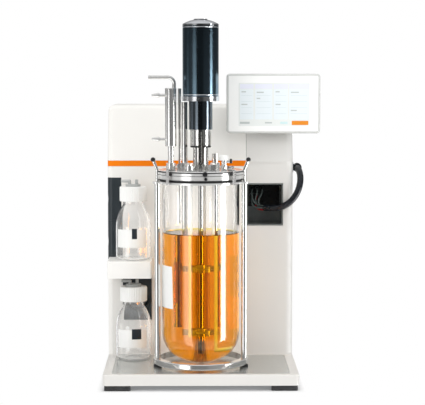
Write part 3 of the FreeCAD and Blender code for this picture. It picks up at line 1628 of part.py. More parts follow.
BUNDLE = [
    (-57, 17, 34.5),
    (-42, 5, 34.5),
    (-27.4, -6, 36.5),
    (-12.8, -12.9, 43.8),
    (-0.9, -16.1, 55),
    (8.5, -15.5, 70),
    (13.5, -10, 86),
    (14.6, -0.9, 99.7),
    (13, 11.8, 109.9),
    (11, 27, 115),
    (11, 43, 115),
]
CABLES = [
    [
        (-81.5, 56.5, 71.5),
        (-81.5, 45, 71.5),
        (-82.5, 35.5, 63),
        (-81, 29.5, 51),
        (-75.6, 29.3, 42.6),
        (-67, 25, 38.4),
        (-57, 17, 38.4),
    ],
    [
        (-70.5, 56.5, 71.5),
        (-70.5, 45, 71.5),
        (-71, 37, 63),
        (-75.9, 36.4, 50.4),
        (-70.4, 31.6, 38.4),
        (-67, 25, 34.5),
        (-57, 17, 34.5),
    ],
    [
        (-59.5, 56.5, 71.5),
        (-59.5, 45, 71.5),
        (-61, 37.5, 63),
        (-68.6, 31.4, 51.5),
        (-67.9, 31.4, 41.4),
        (-62.6, 26.4, 34.5),
        (-54.6, 20, 34.5),
    ],
    [
        (-81.5, 56.5, 57.2),
        (-81.5, 46, 57.2),
        (-82, 37.6, 50),
        (-81.7, 30.6, 40.7),
        (-76.5, 25.5, 35),
        (-66.4, 19.6, 34.5),
        (-59.4, 14, 34.5),
    ],
    [
        (-70.5, 56.5, 57.2),
        (-70.5, 47, 57.2),
        (-73.6, 39.9, 51.7),
        (-74.8, 37.2, 37.9),
        (-69.7, 30.8, 31.3),
        (-66, 24.2, 30.6),
        (-57, 17, 30.6),
    ],
]


def tube_along(route, radius):
    """A round tube along straight runs joined by tangent arcs, and the length of its path."""
    corners = [point(f"right_x + ({x})", f"tray_depth + {y}", f"bay_level + {z}") for x, y, z in route]
    edges, start, radii = [], corners[0], []
    for before, corner, after in zip(corners, corners[1:], corners[2:]):
        back, ahead = before - corner, after - corner
        trim = 0.45 * min(back.Length, ahead.Length)
        half = back.getAngle(ahead) / 2
        back.normalize()
        ahead.normalize()
        bend = trim * math.tan(half)
        radii.append(round(bend, 1))
        arrive, leave = corner + back * trim, corner + ahead * trim
        inward = (back + ahead).normalize()
        middle = corner + inward * (bend / math.sin(half) - bend)
        edges.append(Part.LineSegment(start, arrive).toShape())
        edges.append(Part.Arc(arrive, middle, leave).toShape())
        start = leave
    edges.append(Part.LineSegment(start, corners[-1]).toShape())
    path = Part.Wire(edges)
    circle = Part.makeCircle(radius, corners[0], corners[1] - corners[0])
    tube = path.makePipeShell([Part.Wire(circle)], True, True)
    share = tube.Volume / (math.pi * radius**2 * path.Length)
    print(f"cord of {path.Length:.1f} mm, volume {share:.4f} of section by length, radii {radii}")
    return tube


def cords():
    thick = doc.addObject("Part::Feature", "Bundle")
    thick.Shape = tube_along(BUNDLE, value("bundle_radius"))
    node("cable_bundle", thick)
    thin = doc.addObject("Part::Feature", "Cables")
    thin.Shape = Part.Compound([tube_along(route, value("cable_radius")) for route in CABLES])
    node("sensor_cables", thin)


def bundle_gland():
    """The gland on the column's side that the bundle of cables goes into."""
    reach, back, up = BUNDLE[-1]
    x, y, z = f"right_x + {reach}", f"tray_depth + {back}", f"bay_level + {up}"
    outline = [
        ("bundle_radius + fit_gap", "-gland_depth"),
        ("gland_radius", "-gland_depth"),
        ("gland_radius", "gland_length"),
        ("0", "gland_length"),
        ("0", "0"),
        ("bundle_radius + fit_gap", "0"),
    ]
    middle = f"{y} + gland_length/2"
    neck = rod("gland_neck_radius", str(reach), "right_x", middle, z, "X")
    foot = rod("gland_foot_radius", "gland_foot_thick", "right_x", middle, z, "X")
    node("bundle_gland", plus(turned(outline, x, y, z, "Y"), neck, foot))


# the whole instrument

base()
main_cover()
column_cover()
cable_bay()
rear_panel()
chassis()
electronics()
gas_valve_block()
rear_ports()
fan()
power_inlet()
pumps()
bottle_shelf()
bottle(1, "shelf_level")
bottle(2, "0")
touch_screen()
vessel_stand()
vessel_glass()
culture_liquid()
flange()
drive()
agitator()
probes_and_tubes()
port_fittings()
exit_cooler()
cords()
bundle_gland()
doc.recompute()

for thing in doc.Objects:
    if "Invalid" in thing.State or "Error" in thing.State:
        raise RuntimeError(f"{thing.Label} ({thing.Name}) did not build")
for name, thing in nodes.items():
    if thing.Label != name:
        raise RuntimeError(f"{name} is labelled {thing.Label}")
    if thing.Shape.isNull() or not thing.Shape.isValid():
        raise RuntimeError(f"{name} has no valid shape")

os.makedirs("parts", exist_ok=True)
for name, thing in nodes.items():
    thing.Shape.exportStep(f"parts/{name}.step")
print(f"{len(nodes)} pieces written")
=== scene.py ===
import math
import bpy
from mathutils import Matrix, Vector


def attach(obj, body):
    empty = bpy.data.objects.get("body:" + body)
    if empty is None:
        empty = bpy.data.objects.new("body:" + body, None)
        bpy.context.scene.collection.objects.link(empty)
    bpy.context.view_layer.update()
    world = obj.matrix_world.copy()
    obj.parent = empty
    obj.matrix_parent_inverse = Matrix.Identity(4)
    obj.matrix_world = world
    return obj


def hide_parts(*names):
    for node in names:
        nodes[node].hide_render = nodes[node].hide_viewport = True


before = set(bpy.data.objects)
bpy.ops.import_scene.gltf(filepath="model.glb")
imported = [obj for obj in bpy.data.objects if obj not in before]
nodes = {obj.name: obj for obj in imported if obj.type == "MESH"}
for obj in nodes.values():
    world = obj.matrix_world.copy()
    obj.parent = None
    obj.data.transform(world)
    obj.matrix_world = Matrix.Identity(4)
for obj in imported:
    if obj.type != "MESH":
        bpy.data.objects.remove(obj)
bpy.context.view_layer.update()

ROOT = "instrument"


def at(x, y, z):
    """A place on the bench in metres, from millimetres right of the vessel's axis, behind the base's front
    edge and above the tray."""
    return Vector(((x - 26) / 1000, (y - 217) / 1000, (z + 31.5) / 1000))


AXIS = (0, 110)  # where the vessel's axis is, as at() counts
BOTTLE = (-134, 177)  # and the axis that both bottles share

# camera

view = bpy.data.cameras.new("view")
view.sensor_width = 36
view.lens = 130
view.clip_start = 0.05
camera = bpy.data.objects.new("view", view)
bpy.context.collection.objects.link(camera)
camera.location = at(-14, -2870, 565)
target = at(24, 190, 312)
camera.rotation_euler = (target - camera.location).to_track_quat("-Z", "Y").to_euler()
bpy.context.scene.camera = camera

# materials

SMOOTHEST = 0.02  # no painted or turned surface is glossier
GRAIN_DEPTH = 0.0002
EDGE_POINTINESS = (0.52, 0.6)  # from a flat's value to a sharp edge's
WEAR_GAIN, WEAR_LIFT = 1.35, 0.03  # how much lighter a worn edge is
GLOSS_FINER = 3.1  # how much finer the patches of gloss are than those of colour


def tree(name):
    """A new material and its empty node tree."""
    made = bpy.data.materials.new(name)
    made.use_nodes = True
    made.node_tree.nodes.clear()
    return made, made.node_tree


def noise(nt, scale, detail=3.0, stretch=(1, 1, 1)):
    """Noise over the object's own metres, stretched along an axis where that is asked for."""
    where = nt.nodes.new("ShaderNodeTexCoord")
    mapping = nt.nodes.new("ShaderNodeMapping")
    mapping.inputs["Scale"].default_value = stretch
    texture = nt.nodes.new("ShaderNodeTexNoise")
    texture.inputs["Scale"].default_value = scale
    texture.inputs["Detail"].default_value = detail
    nt.links.new(where.outputs["Object"], mapping.inputs["Vector"])
    nt.links.new(mapping.outputs["Vector"], texture.inputs["Vector"])
    return texture.outputs["Fac"]


def spread(nt, source, low, high, start=0.3, end=0.7):
    """Maps a texture's middle range to two numbers."""
    found = nt.nodes.new("ShaderNodeMapRange")
    found.inputs["From Min"].default_value = start
    found.inputs["From Max"].default_value = end
    found.inputs["To Min"].default_value = low
    found.inputs["To Max"].default_value = high
    nt.links.new(source, found.inputs["Value"])
    return found.outputs["Result"]


def calc(nt, operation, *values):
    """One step of arithmetic on numbers or sockets."""
    step = nt.nodes.new("ShaderNodeMath")
    step.operation = operation
    for port, value in zip(step.inputs, values):
        if isinstance(value, (int, float)):
            port.default_value = value
        else:
            nt.links.new(value, port)
    return step.outputs[0]


def blend_colours(nt, factor, first, second):
    """Goes from the first colour to the second: each is a socket or a plain colour."""
    mix = nt.nodes.new("ShaderNodeMix")
    mix.data_type = "RGBA"
    nt.links.new(factor, mix.inputs["Factor"])
    for socket, colour in ((mix.inputs["A"], first), (mix.inputs["B"], second)):
        if hasattr(colour, "is_linked"):
            nt.links.new(colour, socket)
        else:
            socket.default_value = (*colour, 1)
    return mix.outputs["Result"]


def set_fixed(shader, fixed):
    """Sets plain numbers and colours on the shader's own sockets, named with _ for each space."""
    for key, number in fixed.items():
        shader.inputs[key.replace("_", " ")].default_value = number


def finish_of(name, colour, rough, metal, vary, patch, rough_vary, grain=0.0, grain_scale=1800.0,
              stretch=(1, 1, 1), edge=0.0, **fixed):
    """A surface with patchy colour and gloss, a grain of its own, and edges worn lighter: vary and rough_vary
    are how far colour and gloss stray, patch and grain_scale how fine their patches and the grain are."""
    made, nt = tree(name)
    shader = nt.nodes.new("ShaderNodeBsdfPrincipled")
    output = nt.nodes.new("ShaderNodeOutputMaterial")
    nt.links.new(shader.outputs["BSDF"], output.inputs["Surface"])
    shader.inputs["Metallic"].default_value = metal
    set_fixed(shader, fixed)
    patches = noise(nt, patch, 4.0, stretch)
    darker = tuple(max(0, c * (1 - vary)) for c in colour)
    lighter = tuple(min(1, c * (1 + vary)) for c in colour)
    mixed = blend_colours(nt, spread(nt, patches, 0, 1), darker, lighter)
    if edge:
        geometry = nt.nodes.new("ShaderNodeNewGeometry")
        worn = spread(nt, geometry.outputs["Pointiness"], 0, edge, *EDGE_POINTINESS)
        mixed = blend_colours(nt, worn, mixed, tuple(min(1, c * WEAR_GAIN + WEAR_LIFT) for c in colour))
    nt.links.new(mixed, shader.inputs["Base Color"])
    gloss = noise(nt, patch * GLOSS_FINER, 5.0, stretch)
    dullness = spread(nt, gloss, max(SMOOTHEST, rough - rough_vary), rough + rough_vary)
    nt.links.new(dullness, shader.inputs["Roughness"])
    if grain:
        bump = nt.nodes.new("ShaderNodeBump")
        bump.inputs["Strength"].default_value = grain
        bump.inputs["Distance"].default_value = GRAIN_DEPTH
        nt.links.new(noise(nt, grain_scale, 2.0, stretch), bump.inputs["Height"])
        nt.links.new(bump.outputs["Normal"], shader.inputs["Normal"])
    return made


def metal(name, colour, rough, stretch=(1, 1, 1)):
    return finish_of(
        name, colour, rough, 1.0, vary=0.04, patch=9.0, rough_vary=0.04, grain=0.12, grain_scale=900.0,
        stretch=stretch, edge=0.25,
    )


def plastic(name, colour, rough):
    return finish_of(
        name, colour, rough, 0.0, vary=0.03, patch=26.0, rough_vary=0.05, grain=0.25, grain_scale=2400.0
    )


def clear(name, colour, ior, density=0.0, absorbed=(1, 1, 1), **fixed):
    """A clear material. Its colour tints what is seen through its surface, a density tints its depth, and it
    lets the light that falls on the things behind it straight through, unbent and untinted."""
    made, nt = tree(name)
    shader = nt.nodes.new("ShaderNodeBsdfPrincipled")
    output = nt.nodes.new("ShaderNodeOutputMaterial")
    shader.inputs["Transmission Weight"].default_value = 1
    shader.inputs["IOR"].default_value = ior
    shader.inputs["Roughness"].default_value = 0
    duller = tuple(0.985 * c for c in colour)
    tint = blend_colours(nt, spread(nt, noise(nt, 14.0), 0, 1), duller, colour)
    nt.links.new(tint, shader.inputs["Base Color"])
    set_fixed(shader, fixed)
    through = nt.nodes.new("ShaderNodeBsdfTransparent")
    path = nt.nodes.new("ShaderNodeLightPath")
    either = nt.nodes.new("ShaderNodeMixShader")
    lighting = calc(nt, "MAXIMUM", path.outputs["Is Shadow Ray"], path.outputs["Is Diffuse Ray"])
    nt.links.new(lighting, either.inputs["Fac"])
    nt.links.new(shader.outputs["BSDF"], either.inputs[1])
    nt.links.new(through.outputs["BSDF"], either.inputs[2])
    nt.links.new(either.outputs["Shader"], output.inputs["Surface"])
    if density:
        depth = nt.nodes.new("ShaderNodeVolumeAbsorption")
        depth.inputs["Color"].default_value = (*absorbed, 1)
        depth.inputs["Density"].default_value = density
        nt.links.new(depth.outputs["Volume"], output.inputs["Volume"])
    return made


RINGS = (1, 1, 60)  # a turned surface's marks run round it
GRAIN = (60, 1, 1)  # brushed marks run from front to back
# after its name, colour and roughness, finish_of takes metal, vary, patch, rough_vary, grain and grain_scale
M = {
    "cover": finish_of("cover_paint", (0.84, 0.825, 0.79), 0.42, 0, 0.012, 7, 0.04, 0.3, 1500),
    "column": finish_of("column_paint", (0.70, 0.69, 0.665), 0.40, 0, 0.015, 7, 0.04, 0.3, 1500),
    # the base's pan is set darker than the cover, though its paint is the same white: painted shade
    "pan": finish_of("shaded_pan_paint", (0.72, 0.705, 0.675), 0.38, 0, 0.015, 9, 0.05, 0.25, 1500),
    "shelf": finish_of("shelf_paint", (0.86, 0.85, 0.82), 0.40, 0, 0.015, 9, 0.05, 0.25, 1500),
    "inlay": finish_of("inlay_steel", (0.56, 0.57, 0.55), 0.20, 0.7, 0.05, 8, 0.05, 0.1, 700, GRAIN),
    "foot": finish_of("foot_rubber", (0.034, 0.034, 0.035), 0.75, 0, 0.2, 60, 0.08, 0.5, 1400),
    "orange": finish_of(
        "accent_band", (0.86, 0.20, 0.002), 0.35, 0, 0.03, 20, 0.05, 0.1, 1500, Specular_IOR_Level=0.15
    ),
    "bay": finish_of("bay_plastic", (0.15, 0.165, 0.16), 0.42, 0, 0.15, 30, 0.08, 0.6, 1300),
    "sheet": finish_of("plated_sheet", (0.52, 0.53, 0.54), 0.38, 0.9, 0.04, 35, 0.05, 0.1, 700),
    "supply": finish_of("supply_case", (0.60, 0.61, 0.62), 0.36, 0.9, 0.07, 45, 0.07, 0.1, 900),
    "board": finish_of("circuit_board", (0.01, 0.12, 0.045), 0.35, 0, 0.2, 160, 0.08, 0.4, 1500),
    "aluminium": metal("milled_aluminium", (0.70, 0.71, 0.72), 0.28, GRAIN),
    "nickel": metal("nickel_plate", (0.62, 0.58, 0.50), 0.22),
    "fan": plastic("fan_plastic", (0.020, 0.020, 0.022), 0.45),
    "switch": plastic("switch_plastic", (0.014, 0.014, 0.015), 0.28),
    "pump": plastic("pump_plastic", (0.028, 0.036, 0.042), 0.34),
    "roller": plastic("roller_plastic", (0.11, 0.115, 0.12), 0.30),
    "motor_can": metal("motor_can", (0.42, 0.42, 0.44), 0.32),
    "glass": clear("clear_glass", (1.0, 1.0, 1.0), 1.47, Coat_Weight=0.5),
    # the bottle glass glows faintly of its own, though it is no lamp: a painted glow that brightens the glass
    "bottle": clear(
        "bottle_glass", (1.0, 1.0, 1.0), 1.45, Coat_Weight=0.5,
        Emission_Color=(0.92, 0.92, 0.90, 1), Emission_Strength=0.03,
    ),
    "insert": plastic("insert_plastic", (0.46, 0.47, 0.46), 0.32),
    "cap": finish_of("cap_plastic", (0.88, 0.88, 0.86), 0.36, 0, 0.02, 40, 0.05, 0.2, 1800),
    "case": finish_of("screen_plastic", (0.62, 0.63, 0.61), 0.30, 0, 0.02, 20, 0.05, 0.2, 1800),
    "front": finish_of("screen_bezel", (0.94, 0.945, 0.925), 0.12, 0, 0.008, 12, 0.03, 0.0),
    "arm": finish_of("arm_paint", (0.20, 0.205, 0.21), 0.40, 0, 0.05, 30, 0.05, 0.3, 1500),
    "mirror": metal("polished_steel", (0.80, 0.79, 0.77), 0.09),
    "knob": plastic("knob_plastic", (0.012, 0.012, 0.013), 0.30),
    "steel": metal("turned_steel", (0.74, 0.73, 0.71), 0.17, RINGS),
    "liquid": clear("culture", (1.0, 0.93, 0.4), 1.34, 68.0, (0.984, 0.862, 0.0)),
    "seal": finish_of("seal_rubber", (0.016, 0.016, 0.017), 0.62, 0, 0.2, 80, 0.08, 0.4, 1500),
    "clamp": finish_of("clamp_steel", (0.62, 0.61, 0.60), 0.22, 1.0, 0.08, 60, 0.05, 0.1, 1200, edge=0.3),
    "adapter": finish_of("adapter_coat", (0.13, 0.155, 0.18), 0.13, 1.0, 0.06, 20, 0.03),
    "silver": metal("silver_ring", (0.78, 0.80, 0.84), 0.16, RINGS),
    "navy": finish_of("motor_coat", (0.16, 0.24, 0.30), 0.13, 1.0, 0.04, 6, 0.02),
    "bright": finish_of("bright_steel", (0.86, 0.86, 0.845), 0.15, 0.5, 0.03, 20, 0.03, 0.08, 900, RINGS),
    "rod": finish_of("rod_steel", (0.90, 0.90, 0.885), 0.12, 0.85, 0.03, 20, 0.03, 0.06, 900, RINGS),
    # the tubes' steel is near white and mostly matt so that they read as bright lines: painted highlight
    "pale": finish_of("pale_steel_painted_highlight", (0.95, 0.94, 0.91), 0.18, 0.1, 0.03, 40, 0.05, 0.1, 1200, RINGS),
    "satin": finish_of("satin_steel", (0.76, 0.76, 0.745), 0.22, 0.5, 0.04, 40, 0.05, 0.1, 1200, RINGS),
    "cable": finish_of("cable_jacket", (0.007, 0.009, 0.013), 0.30, 0, 0.15, 70, 0.06, 0.5, 1100),
    "panel": finish_of("socket_panel", (0.008, 0.009, 0.009), 0.30, 0, 0.1, 40, 0.05, 0.2, 1500),
    "wire": finish_of("wire_jacket", (0.085, 0.105, 0.10), 0.24, 0, 0.15, 90, 0.06, 0.4, 1500),
    "red": finish_of("red_jacket", (0.42, 0.012, 0.02), 0.36, 0, 0.1, 90, 0.06, 0.4, 1500),
    "label": finish_of("label_film", (0.86, 0.86, 0.84), 0.40, 0, 0.015, 60, 0.05, 0.2, 2400),
    "ink": finish_of("dark_print", (0.018, 0.026, 0.036), 0.40, 0, 0.12, 60, 0.05, 0.2, 2400),
}
FINISHES = {
    "base_pan": "pan", "tray_inlay": "inlay", "base_plate": "sheet", "base_feet": "foot",
    "main_cover": "cover", "accent_stripe": "orange", "column_cover": "column", "cable_bay": "bay",
    "rear_panel": "sheet", "chassis": "sheet", "power_supply": "supply", "control_board": "board",
    "gas_valve_block": "aluminium", "rear_ports": "nickel", "fan_frame": "fan", "fan_rotor": "fan",
    "power_inlet": "switch", "power_switch": "switch", "pump_head_1": "pump", "pump_head_2": "pump",
    "pump_head_3": "pump", "pump_rotor_1": "roller", "pump_rotor_2": "roller", "pump_rotor_3": "roller",
    "pump_motors": "motor_can", "bottle_shelf": "shelf", "cap_insert_1": "insert", "cap_insert_2": "insert",
    "screen_case": "case", "screen_front": "front", "screen_arm": "arm", "stand_ring": "rod",
    "stand_rods": "rod", "stand_top_ring": "bright", "stand_pads": "foot", "handle_knobs": "knob",
    "flange_ring": "bright", "flange_seal": "seal", "head_plate": "bright", "clamps": "clamp",
    "drive_column": "steel", "motor_adapter": "adapter", "motor_flange": "silver", "motor_housing": "navy",
    "motor_cap": "silver", "agitator_shaft": "mirror", "impellers": "satin", "sensor_probes": "mirror",
    "immersed_tubes": "pale", "port_fittings": "rod", "exit_cooler": "rod", "bundle_gland": "adapter",
    "vessel_glass": "glass", "bottle_1": "bottle", "bottle_2": "bottle", "culture_liquid": "liquid",
    "cap_ring_1": "cap", "cap_ring_2": "cap", "cable_bundle": "cable", "sensor_cables": "wire",
}
for name, finish in FINISHES.items():
    mesh = nodes[name].data
    mesh.materials.clear()
    mesh.materials.append(M[finish])

# cords: each route in millimetres, as at() takes them, from its exit to its far end

BUNDLE = [
    (130, 232, 297.5), (145, 220, 297.5), (159.6, 209, 299.5), (174.2, 202.1, 306.8), (186.1, 198.9, 318),
    (195.5, 199.5, 333), (200.5, 205, 349), (201.6, 214.1, 362.7), (200, 226.8, 372.9), (198, 242, 378),
    (198, 258, 378),
]
CABLES = [
    [
        (105.5, 271.5, 334.5), (105.5, 260, 334.5), (104.5, 250.5, 326), (106, 244.5, 314),
        (111.4, 244.3, 305.6), (120, 240, 301.4), (130, 232, 301.4),
    ],
    [
        (116.5, 271.5, 334.5), (116.5, 260, 334.5), (116, 252, 326), (111.1, 251.4, 313.4),
        (116.6, 246.6, 301.4), (120, 240, 297.5), (130, 232, 297.5),
    ],
    [
        (127.5, 271.5, 334.5), (127.5, 260, 334.5), (126, 252.5, 326), (118.4, 246.4, 314.5),
        (119.1, 246.4, 304.4), (124.4, 241.4, 297.5), (132.4, 235, 297.5),
    ],
    [
        (105.5, 271.5, 320.2), (105.5, 261, 320.2), (105, 252.6, 313), (105.3, 245.6, 303.7),
        (110.5, 240.5, 298), (120.6, 234.6, 297.5), (127.6, 229, 297.5),
    ],
    [
        (116.5, 271.5, 320.2), (116.5, 262, 320.2), (113.4, 254.9, 314.7), (112.2, 252.2, 300.9),
        (117.3, 245.8, 294.3), (121, 239.2, 293.6), (130, 232, 293.6),
    ],
]
BUNDLE_RADIUS, BUNDLE_LENGTH = 0.0065, 0.171  # in metres, as the next two
WIRE_RADIUS, WIRE_LENGTHS = 0.0018, (0.0696, 0.0697, 0.0663, 0.0621, 0.0612)
RED_ONE = 5


def cable(name, route, radius, length, material, **facts):
    """A cord on a smooth curve near its route's points."""
    points = [at(*spot) for spot in route]
    curve = bpy.data.curves.new(name, "CURVE")
    curve.dimensions = "3D"
    curve.bevel_depth = radius
    curve.bevel_resolution = 5
    curve.use_fill_caps = True
    line = curve.splines.new("NURBS")
    line.points.add(len(points) - 1)
    for knot, spot in zip(line.points, points):
        knot.co = (*spot, 1)
    line.order_u = 3
    line.use_endpoint_u = True
    line.resolution_u = 10
    piece = bpy.data.objects.new(name, curve)
    bpy.context.collection.objects.link(piece)
    curve.materials.append(material)
    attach(piece, ROOT)
    return piece


thick = cable(
    "bundle", BUNDLE, BUNDLE_RADIUS, BUNDLE_LENGTH, M["cable"], far_end="object", stiffness="medium"
)
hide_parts("cable_bundle")
wires = []
for number, (route, length) in enumerate(zip(CABLES, WIRE_LENGTHS), 1):
    name, jacket = f"sensor_wire_{number}", M["red"] if number == RED_ONE else M["wire"]
    wires.append(cable(name, route, WIRE_RADIUS, length, jacket, far_end="object", stiffness="limp"))
for wire in wires:
    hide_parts("sensor_cables")

# stage and lights

world = bpy.data.worlds.new("studio")
bpy.context.scene.world = world
bpy.context.scene.view_settings.view_transform = "Standard"
world.use_nodes = True
sky = world.node_tree
sky.nodes.clear()
BRIGHTEST = 16  # the level that stands for 1 in the ramps, whose colours can't pass 1


def ramp(nt, factor, stops):
    """Grey levels over 0 to 1, as (place, level) stops."""
    made = nt.nodes.new("ShaderNodeValToRGB")
    strip = made.color_ramp
    while len(strip.elements) < len(stops):
        strip.elements.new(0.5)
    for stop, (place, level) in zip(strip.elements, stops):
        stop.position = place
        stop.color = (*(level / BRIGHTEST,) * 3, 1)
    nt.links.new(factor, made.inputs["Fac"])
    return made.outputs["Color"]


# The room seen in polished and clear pieces: softboxes and dark flags round the instrument, as (degrees from
# the front to the right, level). One ring is for what looks level or up, and one for what looks down.
HIGH = (
    (-180, 0.3), (-148, 0.25), (-138, 0.1), (-104, 0.05), (-50, 0.07), (-45, 0.16), (-38, 0.16), (-34, 0.025),
    (14, 0.025), (20, 0.04), (62, 0.055), (90, 0.05), (100, 0.05), (140, 0.08), (150, 0.2), (180, 0.3),
)
LOW = (
    (-180, 1.0), (-148, 1.0), (-138, 0.2), (-104, 0.2), (-97, 0.8), (-86, 0.8), (-80, 0.25), (-56, 0.25),
    (-48, 2.0), (-29, 2.4), (-26, 0.03), (14, 0.03), (20, 0.12), (62, 0.2), (66, 13.0), (76, 13.0), (82, 0.5),
    (98, 0.4), (104, 0.2), (138, 0.2), (148, 1.0), (180, 1.0),
)
CROSSOVER = (-0.022, -0.014)  # a direction's rise, over which the low ring gives way to the high one
# at least this much light from a height, from straight down at 0 to straight up at 1
ROOF = ((0, 0.6), (0.3, 0.5), (0.4, 0.02), (0.6, 0.0), (0.8, 0.55), (1, 0.7))
STUDIO_GAIN = 1.1
EVEN_LIGHT = 0.85  # what matt surfaces get from all round
way = sky.nodes.new("ShaderNodeTexCoord")
parts = sky.nodes.new("ShaderNodeSeparateXYZ")
sky.links.new(way.outputs["Generated"], parts.inputs[0])
turn = calc(sky, "ARCTAN2", parts.outputs["X"], calc(sky, "MULTIPLY", parts.outputs["Y"], -1))
turn = calc(sky, "MULTIPLY_ADD", turn, 1 / (2 * math.pi), 0.5)  # 0 to 1 once round, and 0.5 at the front
rings = [ramp(sky, turn, [((azimuth + 180) / 360, level) for azimuth, level in ring]) for ring in (LOW, HIGH)]
upward = spread(sky, parts.outputs["Z"], 0, 1, *CROSSOVER)
room = blend_colours(sky, upward, *rings)
rise = calc(sky, "MULTIPLY_ADD", parts.outputs["Z"], 0.5, 0.5)
lightest = sky.nodes.new("ShaderNodeMix")
lightest.data_type = "RGBA"
lightest.blend_type = "LIGHTEN"
lightest.inputs["Factor"].default_value = 1
sky.links.new(room, lightest.inputs["A"])
sky.links.new(ramp(sky, rise, ROOF), lightest.inputs["B"])
# mirrored and bent rays meet that room, matt surfaces an even light, and the camera plain white
path = sky.nodes.new("ShaderNodeLightPath")
studio, seen, soft = (sky.nodes.new("ShaderNodeBackground") for _ in range(3))
sky.links.new(lightest.outputs["Result"], studio.inputs["Color"])
studio.inputs["Strength"].default_value = STUDIO_GAIN * BRIGHTEST
seen.inputs["Color"].default_value = (1, 1, 1, 1)
soft.inputs["Color"].default_value = (1, 1, 1, 1)
soft.inputs["Strength"].default_value = EVEN_LIGHT
matt, either = (sky.nodes.new("ShaderNodeMixShader") for _ in range(2))
mirrored = calc(sky, "ADD", path.outputs["Is Glossy Ray"], path.outputs["Is Transmission Ray"])
polished = calc(sky, "SUBTRACT", mirrored, path.outputs["Diffuse Depth"])
sky.links.new(calc(sky, "LESS_THAN", polished, 0.5), matt.inputs["Fac"])
sky.links.new(studio.outputs[0], matt.inputs[1])
sky.links.new(soft.outputs[0], matt.inputs[2])
sky.links.new(path.outputs["Is Camera Ray"], either.inputs["Fac"])
sky.links.new(matt.outputs[0], either.inputs[1])
sky.links.new(seen.outputs[0], either.inputs[2])
out = sky.nodes.new("ShaderNodeOutputWorld")
sky.links.new(either.outputs[0], out.inputs["Surface"])


def softbox(name, place, aim, size, watts):
    """A rectangular lamp that lights, but shows in nothing."""
    lamp = bpy.data.lights.new(name, "AREA")
    lamp.shape = "RECTANGLE"
    lamp.size, lamp.size_y = size
    lamp.energy = watts
    holder = bpy.data.objects.new(name, lamp)
    bpy.context.collection.objects.link(holder)
    holder.location = place
    holder.rotation_euler = (Vector(aim) - Vector(place)).to_track_quat("-Z", "Y").to_euler()
    holder.visible_glossy = False
    holder.visible_transmission = False
    holder.visible_camera = False


MIDDLE = (0, 0, 0.3)
softbox("key", (-1.7, -2.2, 1.6), MIDDLE, (1.6, 1.6), 22)
softbox("fill", (1.9, -1.9, 1.0), MIDDLE, (1.2, 1.4), 16)
softbox("roof", (0.1, -0.2, 2.2), MIDDLE, (1.8, 1.8), 10)
# the light that the full vessel throws on the cover behind it
softbox("vessel_glow", at(0, 187, 190), at(0, 217, 190), (0.12, 0.34), 0.12)

TRAY_MIDDLE, TRAY_HALF = (-0.026, -0.007), (0.187, 0.210)
SHADED = (-0.002, 0.012)  # how far outside the tray's sides the floor goes from shaded to plain white
NEAR_EDGE, CURVE_START, CURVE, WALL_TOP, HALF_WIDTH = -6.0, 4.0, 1.4, 5.0, 7.0  # of the floor, in metres


def studio_floor():
    """A level floor that sweeps up into a back wall: white all round, and shaded close to the base."""
    made, nt = tree("studio_floor")
    diffuse = nt.nodes.new("ShaderNodeBsdfDiffuse")
    glow = nt.nodes.new("ShaderNodeEmission")
    total = nt.nodes.new("ShaderNodeMixShader")
    output = nt.nodes.new("ShaderNodeOutputMaterial")
    paper = blend_colours(nt, spread(nt, noise(nt, 3.0), 0, 1), (0.80, 0.80, 0.80), (0.82, 0.82, 0.82))
    nt.links.new(paper, diffuse.inputs["Color"])
    where = nt.nodes.new("ShaderNodeTexCoord")
    parts = nt.nodes.new("ShaderNodeSeparateXYZ")
    nt.links.new(where.outputs["Object"], parts.inputs[0])
    sides = [
        calc(nt, "SUBTRACT", calc(nt, "ABSOLUTE", calc(nt, "SUBTRACT", parts.outputs[axis], middle)), half)
        for axis, middle, half in zip("XY", TRAY_MIDDLE, TRAY_HALF)
    ]
    clear_of_base = spread(nt, calc(nt, "MAXIMUM", *sides), 0, 1, *SHADED)
    nt.links.new(clear_of_base, total.inputs["Fac"])
    nt.links.new(diffuse.outputs[0], total.inputs[1])
    nt.links.new(glow.outputs[0], total.inputs[2])
    nt.links.new(total.outputs[0], output.inputs["Surface"])
    profile = [(NEAR_EDGE, 0.0), (CURVE_START, 0.0)]
    steps = 12
    for step in range(1, steps + 1):
        angle = math.radians(90 * step / steps)
        profile.append((CURVE_START + CURVE * math.sin(angle), CURVE - CURVE * math.cos(angle)))
    profile.append((CURVE_START + CURVE, WALL_TOP))
    mesh = bpy.data.meshes.new("studio_floor")
    rows = [[(x, y, z) for x in (-HALF_WIDTH, HALF_WIDTH)] for y, z in profile]
    spots = [spot for row in rows for spot in row]
    faces = [(2 * k, 2 * k + 1, 2 * k + 3, 2 * k + 2) for k in range(len(rows) - 1)]
    mesh.from_pydata(spots, [], faces)
    for face in mesh.polygons:
        face.use_smooth = True
    mesh.materials.append(made)
    sweep = bpy.data.objects.new("studio_floor", mesh)
    bpy.context.collection.objects.link(sweep)
    sweep.visible_glossy = False
    sweep.visible_transmission = False


studio_floor()

# piece builders: every size in millimetres, every angle in degrees


def shape(name, verts, faces, material, body, sharp=35):
    """A smooth-shaded piece that rides a body, with the edges over an angle kept sharp."""
    mesh = bpy.data.meshes.new(name)
    mesh.from_pydata([tuple(spot) for spot in verts], [], faces)
    mesh.update()
    mesh.shade_smooth()
    mesh.set_sharp_from_angle(angle=math.radians(sharp))
    mesh.materials.append(material)
    piece = bpy.data.objects.new(name, mesh)
    bpy.context.collection.objects.link(piece)
    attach(piece, body)
    return piece


FACING = {  # along, across and out of a face that looks that way
    "Z": ((1, 0, 0), (0, 1, 0), (0, 0, 1)),
    "Y": ((1, 0, 0), (0, 0, -1), (0, 1, 0)),
    "-Y": ((1, 0, 0), (0, 0, 1), (0, -1, 0)),
    "X": ((0, 1, 0), (0, 0, 1), (1, 0, 0)),
}


